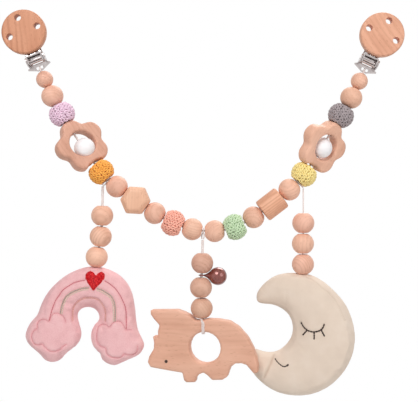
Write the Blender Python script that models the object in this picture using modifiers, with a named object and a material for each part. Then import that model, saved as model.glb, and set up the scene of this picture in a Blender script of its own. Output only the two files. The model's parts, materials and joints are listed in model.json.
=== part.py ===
"""Pram chain toy: wooden and crochet beads strung between two clips, with three
droppers that carry a plush rainbow, a beech animal with a round hole and a plush moon.

The chain is modelled as it hangs across a pram: X to the right, Z up, its front
towards -Y. The origin lies midway between the jaws of the two clips.
"""

import math

import bmesh
import bpy
from mathutils import Matrix, Vector

for old in list(bpy.data.objects):
    bpy.data.objects.remove(old, do_unlink=True)

# Clearances
CLEARANCE = 0.0003
CUT_OVERRUN = 0.002
MERGE_DISTANCE = 0.00002

# The cord of the strand, and the thinner doubled string of the droppers
CORD_DIAMETER = 0.0015
CORD_END_LENGTH = 0.004
STRING_DIAMETER = 0.0008
STRING_SPACING = 0.0004

# Beads, all drilled for the cord
BORE_DIAMETER = 0.004
WOOD_DIAMETER = 0.0165
WOOD_LENGTH = 0.0149
END_DIAMETER = 0.0129
END_LENGTH = 0.0121
CROCHET_DIAMETER = 0.019
CROCHET_LENGTH = 0.0144
CROCHET_MOUTH_DIAMETER = 0.009
CYLINDER_DIAMETER = 0.0179
CYLINDER_LENGTH = 0.0184
CYLINDER_CHAMFER = 0.0012
HEXAGON_ACROSS = 0.0194
HEXAGON_THICKNESS = 0.018
HEXAGON_CHAMFER = 0.0034

# Flower rings, each round a white ball
FLOWER_RADIUS = 0.0181
FLOWER_PETAL = 0.0022
FLOWER_SEAT = 0.0171
FLOWER_HOLE_DIAMETER = 0.0198
FLOWER_THICKNESS = 0.0105
FLOWER_ROUNDING = 0.003
FLOWER_PETALS = 5
LEFT_FLOWER_TURN = math.radians(-13)
RIGHT_FLOWER_TURN = math.radians(46)
BALL_DIAMETER = 0.0155
BALL_LENGTH = 0.0148

# Clips: a wooden disc on a flip lever, over a stamped plate with ears and a strap loop
DISC_DIAMETER = 0.0332
DISC_THICKNESS = 0.008
DISC_ROUNDING = 0.0016
VENT_DIAMETER = 0.0046
VENT_CIRCLE_RADIUS = 0.0111
SHEET = 0.0009
PLATE_WIDTH = 0.0145
PIN_DIAMETER = 0.0018
PIN_TO_DISC = 0.0049
PIN_TO_STRAP_LOOP = 0.0083
JAW_LENGTH = 0.016
EAR_ABOVE_PIN = 0.0033
EAR_BELOW_PIN = 0.0034
EAR_REACH = 0.0088
PIN_DEPTH = 0.0054
STRAP_LOOP_WIDTH = 0.018
STRAP_LOOP_END_WIDTH = 0.0062
STRAP_BAR = 0.0012
STRAP_SLOT_WIDTH = 0.0052
STRAP_SLOT_HEIGHT = 0.0022
WINDOW_WIDTH = 0.0082
PAD_LENGTH = 0.0066
PAD_WIDTH = 0.0104
PAD_BASE = 0.0006
PAD_TOOTH = 0.0009
PAD_TEETH = 4
COMB_SLOT = 0.0023
CAM_DIAMETER = 0.0024

# Droppers
HITCH_GAP = 0.0014
HITCH_REACH = 0.0064
LEFT_STRING_LENGTH = 0.0155
MIDDLE_STRING_LENGTH = 0.0108
RIGHT_STRING_LENGTH = 0.0195
DROPPER_GAP = 0.0008
BELL_GAP = 0.0036
TOY_GAP = 0.0015

# Bell
BELL_DIAMETER = 0.0138
BELL_WALL = 0.0006
BELL_RING_WIRE = 0.0009
BELL_SLOT = 0.0012
PELLET_DIAMETER = 0.003

# Beech animal
FOX_LENGTH = 0.0846
FOX_HEIGHT = 0.0549
FOX_THICKNESS = 0.011
FOX_ROUNDING = 0.0024
FOX_HOLE_DIAMETER = 0.024
FOX_TURN = math.radians(10)

# Plush rainbow and moon
RAINBOW_WIDTH = 0.0915
RAINBOW_HEIGHT = 0.076
RAINBOW_THICKNESS = 0.021
MOON_WIDTH = 0.0818
MOON_HEIGHT = 0.0936
MOON_THICKNESS = 0.022
MOON_TURN = math.radians(12)
SEAM_THICKNESS = 0.0012

# What the sizes above give
CORD = CORD_DIAMETER / 2
STRING = STRING_DIAMETER / 2
BORE = BORE_DIAMETER / 2
LEG = (STRING_DIAMETER + STRING_SPACING) / 2
FLOWER_LOBE = FLOWER_RADIUS + FLOWER_PETAL
WOOD_MOUTH = math.sqrt(WOOD_DIAMETER**2 - WOOD_LENGTH**2)
BALL_MOUTH = math.sqrt(BALL_DIAMETER**2 - BALL_LENGTH**2)

LENGTHS = {
    "end": END_LENGTH,
    "wood": WOOD_LENGTH,
    "crochet": CROCHET_LENGTH,
    "hexagon": HEXAGON_ACROSS,
    "cylinder": CYLINDER_LENGTH,
    "flower": FLOWER_LOBE + FLOWER_SEAT,
}

# How far from the cord two pieces would first touch
MOUTHS = {
    "end": WOOD_MOUTH / 2,
    "wood": WOOD_MOUTH / 2,
    "crochet": CROCHET_MOUTH_DIAMETER / 2,
    "hexagon": HEXAGON_ACROSS / 4,
    "cylinder": CYLINDER_DIAMETER / 2 - CYLINDER_CHAMFER,
    "flower": CROCHET_MOUTH_DIAMETER / 2,
}

# The order on the cord, from the left clip; None is where a dropper hangs
STRUNG = (
    ("left_end_bead", "end"),
    ("wood_bead_1", "wood"),
    ("lavender_bead", "crochet"),
    ("left_flower_ring", "flower"),
    ("orange_bead", "crochet"),
    None,
    ("wood_bead_2", "wood"),
    ("hexagon_bead", "hexagon"),
    ("wood_bead_3", "wood"),
    ("salmon_bead", "crochet"),
    ("wood_bead_4", "wood"),
    None,
    ("wood_bead_5", "wood"),
    ("mint_bead", "crochet"),
    ("wood_bead_6", "wood"),
    ("cylinder_bead", "cylinder"),
    ("wood_bead_7", "wood"),
    None,
    ("yellow_bead", "crochet"),
    ("right_flower_ring", "flower"),
    ("grey_bead", "crochet"),
    ("wood_bead_8", "wood"),
    ("right_end_bead", "end"),
)

# The strand's own curve, as shares of the span between the two strap loops
ROUTE_SHARES = (
    (0.000, 0.000),
    (0.012, -0.029),
    (0.036, -0.081),
    (0.094, -0.184),
    (0.188, -0.316),
    (0.291, -0.401),
    (0.407, -0.472),
    (0.503, -0.497),
    (0.598, -0.487),
    (0.713, -0.418),
    (0.818, -0.319),
    (0.902, -0.186),
    (0.963, -0.084),
    (1.000, -0.006),
)

# Outline of the beech animal: muzzle at the left, tail at the right
FOX_OUTLINE_SHARES = (
    (0.027, 0.989), (0.150, 0.995), (0.272, 1.000), (0.335, 0.968), (0.385, 0.926),
    (0.439, 0.851), (0.500, 0.862), (0.556, 0.872), (0.647, 0.882), (0.747, 0.858),
    (0.828, 0.782), (0.909, 0.646), (0.963, 0.494), (0.988, 0.375), (1.000, 0.261),
    (1.000, 0.165), (0.963, 0.158), (0.932, 0.213), (0.900, 0.268), (0.855, 0.289),
    (0.801, 0.282), (0.760, 0.233), (0.742, 0.165), (0.728, 0.096), (0.683, 0.054),
    (0.593, 0.044), (0.548, 0.110), (0.511, 0.144), (0.467, 0.110), (0.444, 0.061),
    (0.439, 0.007), (0.358, 0.000), (0.335, 0.028), (0.321, 0.131), (0.186, 0.158),
    (0.105, 0.176), (0.027, 0.194), (0.000, 0.261), (0.014, 0.343), (0.055, 0.453),
    (0.059, 0.535), (0.048, 0.625), (0.095, 0.625), (0.095, 0.700), (0.109, 0.782),
    (0.059, 0.865), (0.027, 0.933),
)
FOX_HOLE_SHARE = (0.526, 0.486)
FOX_HANG_SHARE = (0.491, 0.860)

# Sections across the rainbow, from its left cloud over the arch to its right cloud:
# the outer edge's point, then the inner edge's
RAINBOW_SHARES = (
    ((0.170, 0.066), (0.298, 0.069)),
    ((0.135, 0.114), (0.332, 0.111)),
    ((0.080, 0.170), (0.376, 0.161)),
    ((0.029, 0.220), (0.444, 0.216)),
    ((0.000, 0.290), (0.480, 0.285)),
    ((0.005, 0.350), (0.480, 0.350)),
    ((0.033, 0.430), (0.467, 0.410)),
    ((0.071, 0.485), (0.452, 0.470)),
    ((0.102, 0.530), (0.445, 0.513)),
    ((0.122, 0.601), (0.452, 0.545)),
    ((0.164, 0.706), (0.471, 0.567)),
    ((0.232, 0.808), (0.489, 0.579)),
    ((0.325, 0.902), (0.509, 0.583)),
    ((0.431, 0.966), (0.527, 0.585)),
    ((0.537, 0.998), (0.545, 0.582)),
    ((0.647, 0.989), (0.566, 0.576)),
    ((0.763, 0.936), (0.588, 0.562)),
    ((0.850, 0.847), (0.606, 0.543)),
    ((0.901, 0.731), (0.618, 0.519)),
    ((0.925, 0.591), (0.624, 0.485)),
    ((0.935, 0.480), (0.618, 0.448)),
    ((0.948, 0.380), (0.575, 0.414)),
    ((0.977, 0.295), (0.549, 0.365)),
    ((1.000, 0.225), (0.544, 0.300)),
    ((0.990, 0.170), (0.557, 0.230)),
    ((0.948, 0.112), (0.589, 0.175)),
    ((0.871, 0.073), (0.624, 0.134)),
    ((0.833, 0.054), (0.632, 0.089)),
)
RAINBOW_ENDS_SHARES = ((0.233, 0.036), (0.735, 0.000))
RAINBOW_HANG_SHARE = (0.596, 0.998)

# Sections across the moon, from its upper horn to its lower horn
MOON_SHARES = (
    ((0.105, 0.850), (0.100, 0.752)),
    ((0.150, 0.900), (0.155, 0.742)),
    ((0.215, 0.948), (0.235, 0.738)),
    ((0.295, 0.984), (0.305, 0.714)),
    ((0.400, 0.999), (0.360, 0.676)),
    ((0.505, 0.994), (0.385, 0.640)),
    ((0.610, 0.980), (0.399, 0.607)),
    ((0.720, 0.927), (0.405, 0.578)),
    ((0.820, 0.850), (0.407, 0.556)),
    ((0.910, 0.755), (0.406, 0.537)),
    ((0.967, 0.643), (0.403, 0.519)),
    ((0.996, 0.525), (0.398, 0.501)),
    ((0.990, 0.400), (0.389, 0.481)),
    ((0.945, 0.280), (0.376, 0.460)),
    ((0.864, 0.170), (0.355, 0.433)),
    ((0.745, 0.075), (0.325, 0.403)),
    ((0.595, 0.015), (0.285, 0.372)),
    ((0.440, 0.000), (0.240, 0.352)),
    ((0.295, 0.018), (0.185, 0.346)),
    ((0.175, 0.071), (0.125, 0.353)),
    ((0.085, 0.140), (0.070, 0.368)),
    ((0.028, 0.215), (0.028, 0.345)),
)
MOON_ENDS_SHARES = ((0.082, 0.800), (0.006, 0.285))
MOON_HANG_SHARE = (0.510, 0.993)

# Where the threaded pieces turn from: how far each dropper's bead axes lean, from
# the string's top down to the toy
LEFT_LEANS = (math.radians(1), math.radians(4), math.radians(11), math.radians(9))
MIDDLE_LEANS = (math.radians(1), math.radians(3), math.radians(-2), math.radians(0))
RIGHT_LEANS = (math.radians(0), math.radians(1), math.radians(0), math.radians(0))

toy = bpy.data.collections.new("pram_chain_toy")
cutters = bpy.data.collections.new("cutters")
for group in (toy, cutters):
    bpy.context.scene.collection.children.link(group)


def material(name, colour, roughness, metallic=0):
    """A Principled material, one for each of the things the chain is made of."""
    made = bpy.data.materials.new(name)
    made.use_nodes = True
    shader = made.node_tree.nodes["Principled BSDF"]
    shader.inputs["Base Color"].default_value = (*colour, 1)
    shader.inputs["Roughness"].default_value = roughness
    shader.inputs["Metallic"].default_value = metallic
    return made


BEECH = material("beech", (0.75, 0.46, 0.28), 0.55)
CORD_WHITE = material("cord_white", (0.83, 0.74, 0.72), 0.8)
NICKEL = material("nickel", (0.72, 0.7, 0.69), 0.22, 1)
PAD_PLASTIC = material("pad_plastic", (0.8, 0.8, 0.78), 0.5)
BALL_WHITE = material("ball_white", (0.84, 0.79, 0.79), 0.35)
BELL_BROWN = material("bell_brown", (0.17, 0.045, 0.035), 0.2, 0.6)
PINK_PLUSH = material("pink_plush", (0.83, 0.46, 0.5), 0.95)
CREAM_PLUSH = material("cream_plush", (0.77, 0.65, 0.53), 0.95)
YARNS = {
    "lavender_bead": material("lavender_yarn", (0.66, 0.48, 0.66), 0.95),
    "orange_bead": material("orange_yarn", (0.86, 0.36, 0.05), 0.95),
    "salmon_bead": material("salmon_yarn", (0.87, 0.36, 0.3), 0.95),
    "mint_bead": material("mint_yarn", (0.38, 0.61, 0.36), 0.95),
    "yellow_bead": material("yellow_yarn", (0.83, 0.67, 0.2), 0.95),
    "grey_bead": material("grey_yarn", (0.3, 0.26, 0.28), 0.95),
}


def add(name, data, surface, matrix, group=toy):
    """Put mesh or curve data in the scene as one piece, with its own material."""
    piece = bpy.data.objects.new(name, data)
    group.objects.link(piece)
    piece.matrix_world = matrix
    if surface and not data.materials:
        data.materials.append(surface)
    return piece


def from_bmesh(name, shape):
    """Mesh data from a bmesh, which is then freed."""
    data = bpy.data.meshes.new(name)
    shape.to_mesh(data)
    shape.free()
    return data


def smooth(data, angle=math.radians(35)):
    """Shade round faces smooth and keep real edges sharp."""
    data.shade_smooth()
    data.set_sharp_from_angle(angle=angle)


def as_mesh(piece, name, surface, group=toy, home=None):
    """Turn a curve object into a welded mesh object at the same place, its origin at
    its joint's own place where it has one."""
    bpy.context.view_layer.update()
    evaluated = piece.evaluated_get(bpy.context.evaluated_depsgraph_get())
    data = bpy.data.meshes.new_from_object(evaluated)
    shape = bmesh.new()
    shape.from_mesh(data)
    bmesh.ops.remove_doubles(shape, verts=shape.verts, dist=MERGE_DISTANCE)
    bmesh.ops.recalc_face_normals(shape, faces=shape.faces)
    shape.to_mesh(data)
    shape.free()
    data.materials.clear()
    data.name = name
    place = piece.matrix_world.copy()
    bpy.data.objects.remove(piece, do_unlink=True)
    if home:
        data.transform(home.inverted() @ place)
    return add(name, data, surface, home or place, group)


def cut(piece, tool, operation="DIFFERENCE"):
    """A Boolean with a hidden tool object, left live on the piece."""
    tool.hide_render = True
    tool.display_type = "WIRE"
    change = piece.modifiers.new(tool.name, "BOOLEAN")
    change.operation = operation
    change.solver = "EXACT"
    change.object = tool
    return change


def rod(name, diameter, length, matrix, segments=16):
    """A hidden round cutter, its axis along its own Z."""
    shape = bmesh.new()
    bmesh.ops.create_cone(
        shape, cap_ends=True, segments=segments, radius1=diameter / 2, radius2=diameter / 2, depth=length
    )
    return add(name, from_bmesh(name, shape), None, matrix, cutters)


def box(name, size, matrix, group=cutters, surface=None):
    """A box of the given size about its own middle."""
    shape = bmesh.new()
    bmesh.ops.create_cube(shape, size=1)
    bmesh.ops.scale(shape, vec=Vector(size), verts=shape.verts)
    return add(name, from_bmesh(name, shape), surface, matrix, group)


def turned_data(name, profile, closed=True):
    """A profile in the XZ plane, as the edges that a Screw modifier turns about Z."""
    shape = bmesh.new()
    points = [shape.verts.new((x, 0, z)) for x, z in profile]
    for first, second in zip(points, points[1:]):
        shape.edges.new((first, second))
    if closed:
        shape.edges.new((points[-1], points[0]))
    return from_bmesh(name, shape)


def turn(piece, steps):
    """Turn a piece's profile about its Z axis."""
    screw = piece.modifiers.new("turn", "SCREW")
    screw.steps = steps
    screw.render_steps = steps
    screw.use_merge_vertices = True
    screw.merge_threshold = MERGE_DISTANCE
    screw.use_smooth_shade = True
    return screw


def flat(name, outlines, thickness, rounding, surface, matrix, resolution=1, group=toy, home=None):
    """A filled 2D outline, with holes, of the given thickness and rounded edges, welded."""
    curve = bpy.data.curves.new(name, "CURVE")
    curve.dimensions = "2D"
    curve.fill_mode = "BOTH"
    curve.extrude = thickness / 2 - rounding
    curve.bevel_depth = rounding
    curve.bevel_resolution = resolution
    curve.offset = -rounding
    for outline in outlines:
        line = curve.splines.new("POLY")
        line.points.add(len(outline) - 1)
        for point, (x, y) in zip(line.points, outline):
            point.co = (x, y, 0, 1)
        line.use_cyclic_u = True
    return as_mesh(add(name, curve, None, matrix, group), name, surface, group, home)


def tube(name, points, diameter, surface, home=Vector(), closed=False):
    """A round cord along a POLY spline, with its ends capped and its origin at home."""
    curve = bpy.data.curves.new(name, "CURVE")
    curve.dimensions = "3D"
    curve.bevel_depth = diameter / 2
    curve.bevel_resolution = 2
    curve.use_fill_caps = not closed
    line = curve.splines.new("POLY")
    line.points.add(len(points) - 1)
    for point, place in zip(line.points, points):
        point.co = (*(place - home), 1)
    line.use_cyclic_u = closed
    line.use_smooth = True
    return add(name, curve, surface, Matrix.Translation(home))


def eased(points, steps, closed=False):
    """Points of a smooth curve through the given ones."""
    count = len(points)
    made = []
    for i in range(count if closed else count - 1):
        if closed:
            a, b, c, d = (points[(i + k) % count] for k in (-1, 0, 1, 2))
        else:
            b, c = points[i], points[i + 1]
            a = points[i - 1] if i else b * 2 - c
            d = points[i + 2] if i + 2 < count else c * 2 - b
        for k in range(steps):
            t = k / steps
            made.append(
                (b * 2 + (c - a) * t + (a * 2 - b * 5 + c * 4 - d) * t**2 + (b * 3 - a - c * 3 + d) * t**3) / 2
            )
    if not closed:
        made.append(points[-1])
    return made


class Route:
    """A curve that is read by the distance along it."""

    def __init__(self, points):
        self.points = points
        self.marks = [0]
        for first, second in zip(points, points[1:]):
            self.marks.append(self.marks[-1] + (second - first).length)
        self.length = self.marks[-1]

    def at(self, distance):
        i = 0
        while i < len(self.marks) - 2 and self.marks[i + 1] < distance:
            i += 1
        step = self.marks[i + 1] - self.marks[i]
        return self.points[i].lerp(self.points[i + 1], (distance - self.marks[i]) / step)

    def tangent(self, distance, reach):
        return (self.at(distance + reach) - self.at(distance - reach)).normalized()


def frame(place, along):
    """A matrix with its Z along a cord that runs in the XZ plane and its Y to the back."""
    z = along.normalized()
    y = Vector((0, 1, 0))
    x = y.cross(z)
    return Matrix.Translation(place) @ Matrix((x, y, z)).transposed().to_4x4()


def leaning(angle):
    """The way down at a lean from the vertical, to the left where it is positive."""
    return Vector((-math.sin(angle), 0, -math.cos(angle)))


# The strand: its span follows from what is strung on it. Where the cord bends between
# two beads, their flat mouths stand that much further apart.
STRAP_TAIL = STRAP_BAR
pieces = [strung for strung in STRUNG if strung]
spaces = []
for first, second in zip(STRUNG, STRUNG[1:]):
    if first:
        spaces.append(CLEARANCE if second else HITCH_GAP)
unit = Route(eased([Vector((x, 0, z)) for x, z in ROUTE_SHARES], 8))
bends = [0] * len(spaces)
for attempt in range(6):
    apart = [space + bend for space, bend in zip(spaces, bends)]
    total = STRAP_TAIL * 2 + sum(apart) + sum(LENGTHS[kind] for name, kind in pieces)
    strand = Route([point * (total / unit.length) for point in unit.points])
    stations = {}
    hitches = []
    ways = []
    mark = STRAP_TAIL
    for (name, kind), space, full in zip(pieces, [*spaces, 0], [*apart, 0]):
        stations[name] = mark + LENGTHS[kind] / 2
        ways.append(strand.tangent(stations[name], LENGTHS[kind] / 2))
        mark += LENGTHS[kind] + full
        if space == HITCH_GAP:
            hitches.append(mark - full / 2)
    for k in range(len(bends)):
        mouth = min(MOUTHS[pieces[k][1]], MOUTHS[pieces[k + 1][1]])
        bends[k] = mouth * math.tan(ways[k].angle(ways[k + 1]))

# The clips stand in line with the ends of the strand
left_up = -strand.tangent(STRAP_TAIL, STRAP_TAIL)
right_up = strand.tangent(strand.length - STRAP_TAIL, STRAP_TAIL)
left_pin = strand.at(0) + left_up * PIN_TO_STRAP_LOOP
right_pin = strand.at(strand.length) + right_up * PIN_TO_STRAP_LOOP
jaw_height = PIN_TO_DISC + DISC_DIAMETER / 4
origin = (left_pin + left_up * jaw_height + right_pin + right_up * jaw_height) / 2
origin.y = 0
strand = Route([point - origin for point in strand.points])
left_pin -= origin
right_pin -= origin


def bead_profile(diameter, length, mouth, arcs):
    """A drilled bead from one mouth down its outside to the other, and back up the bore."""
    radius = diameter / 2
    start = math.asin(mouth / diameter)
    reach = length / 2 / math.cos(start)
    steps = [start + (math.pi - 2 * start) * i / arcs for i in range(arcs + 1)]
    outside = [(radius * math.sin(a), reach * math.cos(a)) for a in steps]
    return [(BORE, length / 2), *outside, (BORE, -length / 2)]


def turned_bead(name, profile, surface, matrix, steps=14):
    """A bead turned from its profile."""
    piece = add(name, turned_data(name, profile), surface, matrix)
    turn(piece, steps)
    return piece


WOOD_PROFILE = bead_profile(WOOD_DIAMETER, WOOD_LENGTH, WOOD_MOUTH, 6)
END_PROFILE = bead_profile(END_DIAMETER, END_LENGTH, BORE_DIAMETER + CLEARANCE, 6)
BALL_PROFILE = bead_profile(BALL_DIAMETER, BALL_LENGTH, BALL_MOUTH, 6)
CROCHET_PROFILE = bead_profile(CROCHET_DIAMETER, CROCHET_LENGTH, CROCHET_MOUTH_DIAMETER, 7)
CYLINDER_PROFILE = [
    (BORE, CYLINDER_LENGTH / 2),
    (CYLINDER_DIAMETER / 2 - CYLINDER_CHAMFER, CYLINDER_LENGTH / 2),
    (CYLINDER_DIAMETER / 2, CYLINDER_LENGTH / 2 - CYLINDER_CHAMFER),
    (CYLINDER_DIAMETER / 2, CYLINDER_CHAMFER - CYLINDER_LENGTH / 2),
    (CYLINDER_DIAMETER / 2 - CYLINDER_CHAMFER, -CYLINDER_LENGTH / 2),
    (BORE, -CYLINDER_LENGTH / 2),
]


def hexagon_bead(name, matrix):
    """A hexagonal block, chamfered on every edge and drilled from flat to flat."""
    shape = bmesh.new()
    radius = HEXAGON_ACROSS / math.sqrt(3)
    levels = (
        (HEXAGON_THICKNESS / 2, radius - HEXAGON_CHAMFER),
        (HEXAGON_THICKNESS / 2 - HEXAGON_CHAMFER, radius),
        (HEXAGON_CHAMFER - HEXAGON_THICKNESS / 2, radius),
        (-HEXAGON_THICKNESS / 2, radius - HEXAGON_CHAMFER),
    )
    rings = []
    for y, reach in levels:
        corners = [(reach * math.cos(math.pi / 3 * i), y, reach * math.sin(math.pi / 3 * i)) for i in range(6)]
        rings.append([shape.verts.new(corner) for corner in corners])
    for first, second in zip(rings, rings[1:]):
        for i in range(6):
            shape.faces.new((first[i], first[i - 1], second[i - 1], second[i]))
    shape.faces.new(rings[0])
    shape.faces.new(reversed(rings[-1]))
    bmesh.ops.recalc_face_normals(shape, faces=shape.faces)
    piece = add(name, from_bmesh(name, shape), BEECH, matrix)
    cut(piece, rod(name + "_bore", BORE_DIAMETER, HEXAGON_ACROSS + CUT_OVERRUN, matrix))
    return piece


def flower_ring(name, matrix, lobe_way):
    """A five-petalled beech ring, drilled right through its rim for the cord."""
    count = FLOWER_PETALS * 7
    rim = []
    for i in range(count):
        a = math.tau * i / count
        radius = FLOWER_RADIUS + FLOWER_PETAL * math.cos(FLOWER_PETALS * a)
        rim.append((radius * math.cos(a), radius * math.sin(a)))
    hole = [
        (FLOWER_HOLE_DIAMETER / 2 * math.cos(-math.tau * i / 20), FLOWER_HOLE_DIAMETER / 2 * math.sin(-math.tau * i / 20))
        for i in range(20)
    ]
    # The outline's own X goes along the cord, to the side of the leading petal
    lie = Matrix(((0, -lobe_way, 0), (0, 0, -1), (lobe_way, 0, 0))).to_4x4()
    piece = flat(name, (rim, hole), FLOWER_THICKNESS, FLOWER_ROUNDING, BEECH, matrix @ lie)
    smooth(piece.data, math.radians(50))
    reach = (FLOWER_LOBE + CUT_OVERRUN) * 2
    cut(piece, rod(name + "_bore", BORE_DIAMETER, reach, matrix, 12))
    return piece


# The pieces on the strand
for strung in STRUNG:
    if strung is None:
        continue
    name, kind = strung
    station = stations[name]
    place = frame(strand.at(station), strand.tangent(station, LENGTHS[kind] / 2))
    if kind == "wood":
        turned_bead(name, WOOD_PROFILE, BEECH, place)
    elif kind == "end":
        turned_bead(name, END_PROFILE, BEECH, place, 12)
    elif kind == "crochet":
        turned_bead(name, CROCHET_PROFILE, YARNS[name], place)
    elif kind == "cylinder":
        turned_bead(name, CYLINDER_PROFILE, BEECH, place, 18)
    elif kind == "hexagon":
        hexagon_bead(name, place)
    else:
        # The leading petal points at the clip, and the ball lies on the lower rim
        left = name.startswith("left")
        way = 1 if left else -1
        middle = station + way * (FLOWER_LOBE - FLOWER_SEAT) / 2
        place = frame(strand.at(middle), strand.tangent(station, LENGTHS[kind] / 2))
        turned = Matrix.Rotation(LEFT_FLOWER_TURN if left else RIGHT_FLOWER_TURN, 4, "Z")
        flower_ring(name, place @ turned, -way)
        wall = math.sqrt(FLOWER_HOLE_DIAMETER**2 - BALL_MOUTH**2) / 2
        slack = wall - BALL_LENGTH / 2 - CLEARANCE * 2
        ball_place = Matrix.Translation(place.col[2].xyz * way * slack) @ place
        turned_bead(name.replace("ring", "ball"), BALL_PROFILE, BALL_WHITE, ball_place)


def clip(side, pin, up):
    """One clip: jaw plate with ears and strap loop, pad, pin, and the lever with its disc.

    Its own Z points from the strap loop to the disc and its own Y to the back; the
    pin's axis is its own X.
    """
    at_pin = frame(pin, up)
    front = -PIN_DEPTH
    place = at_pin @ Matrix.Translation((0, front, 0))

    def deep(y):
        """A depth behind the pin, from one measured from the middle of the jaw plate."""
        return y - front

    half = PLATE_WIDTH / 2
    jaw = half - SHEET
    bail = EAR_BELOW_PIN + SHEET
    stand = Matrix.Rotation(math.pi / 2, 4, "X")

    # Jaw plate: a round-ended tongue above, ears at its sides, the strap loop below
    tongue = [
        (jaw * math.cos(a), JAW_LENGTH - jaw + jaw * math.sin(a))
        for a in [math.pi * i / 8 for i in range(9)]
    ]
    outline = [
        (half, -EAR_BELOW_PIN),
        (half, EAR_ABOVE_PIN),
        (jaw, EAR_ABOVE_PIN + SHEET),
        *tongue,
        (-jaw, EAR_ABOVE_PIN + SHEET),
        (-half, EAR_ABOVE_PIN),
        (-half, -EAR_BELOW_PIN),
        (-STRAP_LOOP_WIDTH / 2, -bail),
        (-STRAP_LOOP_WIDTH / 2, -bail - SHEET),
        (-STRAP_LOOP_END_WIDTH / 2, STRAP_BAR / 2 - PIN_TO_STRAP_LOOP),
        (SHEET - STRAP_LOOP_END_WIDTH / 2, -PIN_TO_STRAP_LOOP),
        (STRAP_LOOP_END_WIDTH / 2 - SHEET, -PIN_TO_STRAP_LOOP),
        (STRAP_LOOP_END_WIDTH / 2, STRAP_BAR / 2 - PIN_TO_STRAP_LOOP),
        (STRAP_LOOP_WIDTH / 2, -bail - SHEET),
        (STRAP_LOOP_WIDTH / 2, -bail),
    ]
    slot_low = STRAP_BAR - PIN_TO_STRAP_LOOP
    slot_high = slot_low + STRAP_SLOT_HEIGHT
    slot = [
        (-STRAP_SLOT_WIDTH / 2 + SHEET / 2, slot_low),
        (STRAP_SLOT_WIDTH / 2 - SHEET / 2, slot_low),
        (STRAP_SLOT_WIDTH / 2, slot_low + SHEET / 2),
        (STRAP_SLOT_WIDTH / 2, slot_high),
        (-STRAP_SLOT_WIDTH / 2, slot_high),
        (-STRAP_SLOT_WIDTH / 2, slot_low + SHEET / 2),
    ]
    window = [
        (-WINDOW_WIDTH / 2, SHEET - EAR_BELOW_PIN),
        (WINDOW_WIDTH / 2, SHEET - EAR_BELOW_PIN),
        (WINDOW_WIDTH / 2, EAR_ABOVE_PIN - SHEET),
        (-WINDOW_WIDTH / 2, EAR_ABOVE_PIN - SHEET),
    ]
    plate = flat(
        side + "_clip_plate",
        (outline, slot, window),
        SHEET,
        0,
        NICKEL,
        at_pin @ stand,
    )
    ear_height = EAR_ABOVE_PIN + EAR_BELOW_PIN
    nose = ear_height / 3
    for way in (-1, 1):
        ear_outline = [
            (0, -EAR_BELOW_PIN),
            (EAR_REACH - nose, -EAR_BELOW_PIN),
            *[
                (
                    EAR_REACH - nose + nose * math.cos(a),
                    -EAR_BELOW_PIN + ear_height / 2 + ear_height / 2 * math.sin(a),
                )
                for a in [-math.pi / 2 + math.pi * i / 6 for i in range(1, 6)]
            ],
            (EAR_REACH - nose, EAR_ABOVE_PIN),
            (0, EAR_ABOVE_PIN),
        ]
        lie = Matrix(((0, 0, 1), (-1, 0, 0), (0, 1, 0))).to_4x4()
        middle = Matrix.Translation((way * (half - SHEET / 2), 0, 0))
        ear = flat(f"{side}_ear_{way}", (ear_outline,), SHEET, 0, None, at_pin @ middle @ lie, group=cutters)
        cut(plate, ear, "UNION")
    bearing = place @ Matrix.Rotation(math.pi / 2, 4, "Y")
    hole = PIN_DIAMETER + CLEARANCE * 2
    cut(plate, rod(side + "_bearing", hole, PLATE_WIDTH + CUT_OVERRUN, bearing, 12))

    # Pin
    shape = bmesh.new()
    bmesh.ops.create_cone(
        shape,
        cap_ends=True,
        segments=12,
        radius1=PIN_DIAMETER / 2,
        radius2=PIN_DIAMETER / 2,
        depth=PLATE_WIDTH + SHEET,
    )
    pin_piece = add(side + "_clip_pin", from_bmesh(side + "_clip_pin", shape), NICKEL, bearing)
    smooth(pin_piece.data)

    # Toothed pad on the front of the jaw plate
    low = PIN_TO_DISC + SHEET
    pitch = PAD_LENGTH / PAD_TEETH
    root = -SHEET / 2 - CLEARANCE
    teeth = [(root, low), (root, low + PAD_LENGTH)]
    for i in range(PAD_TEETH, 0, -1):
        teeth.append((root - PAD_BASE, low + pitch * i))
        teeth.append((root - PAD_BASE - PAD_TOOTH, low + pitch * (i - 0.5)))
    teeth.append((root - PAD_BASE, low))
    across = Matrix(((0, 0, 1), (1, 0, 0), (0, 1, 0))).to_4x4()
    flat(side + "_clip_pad", (teeth,), PAD_WIDTH, 0, PAD_PLASTIC, at_pin @ across)

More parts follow.
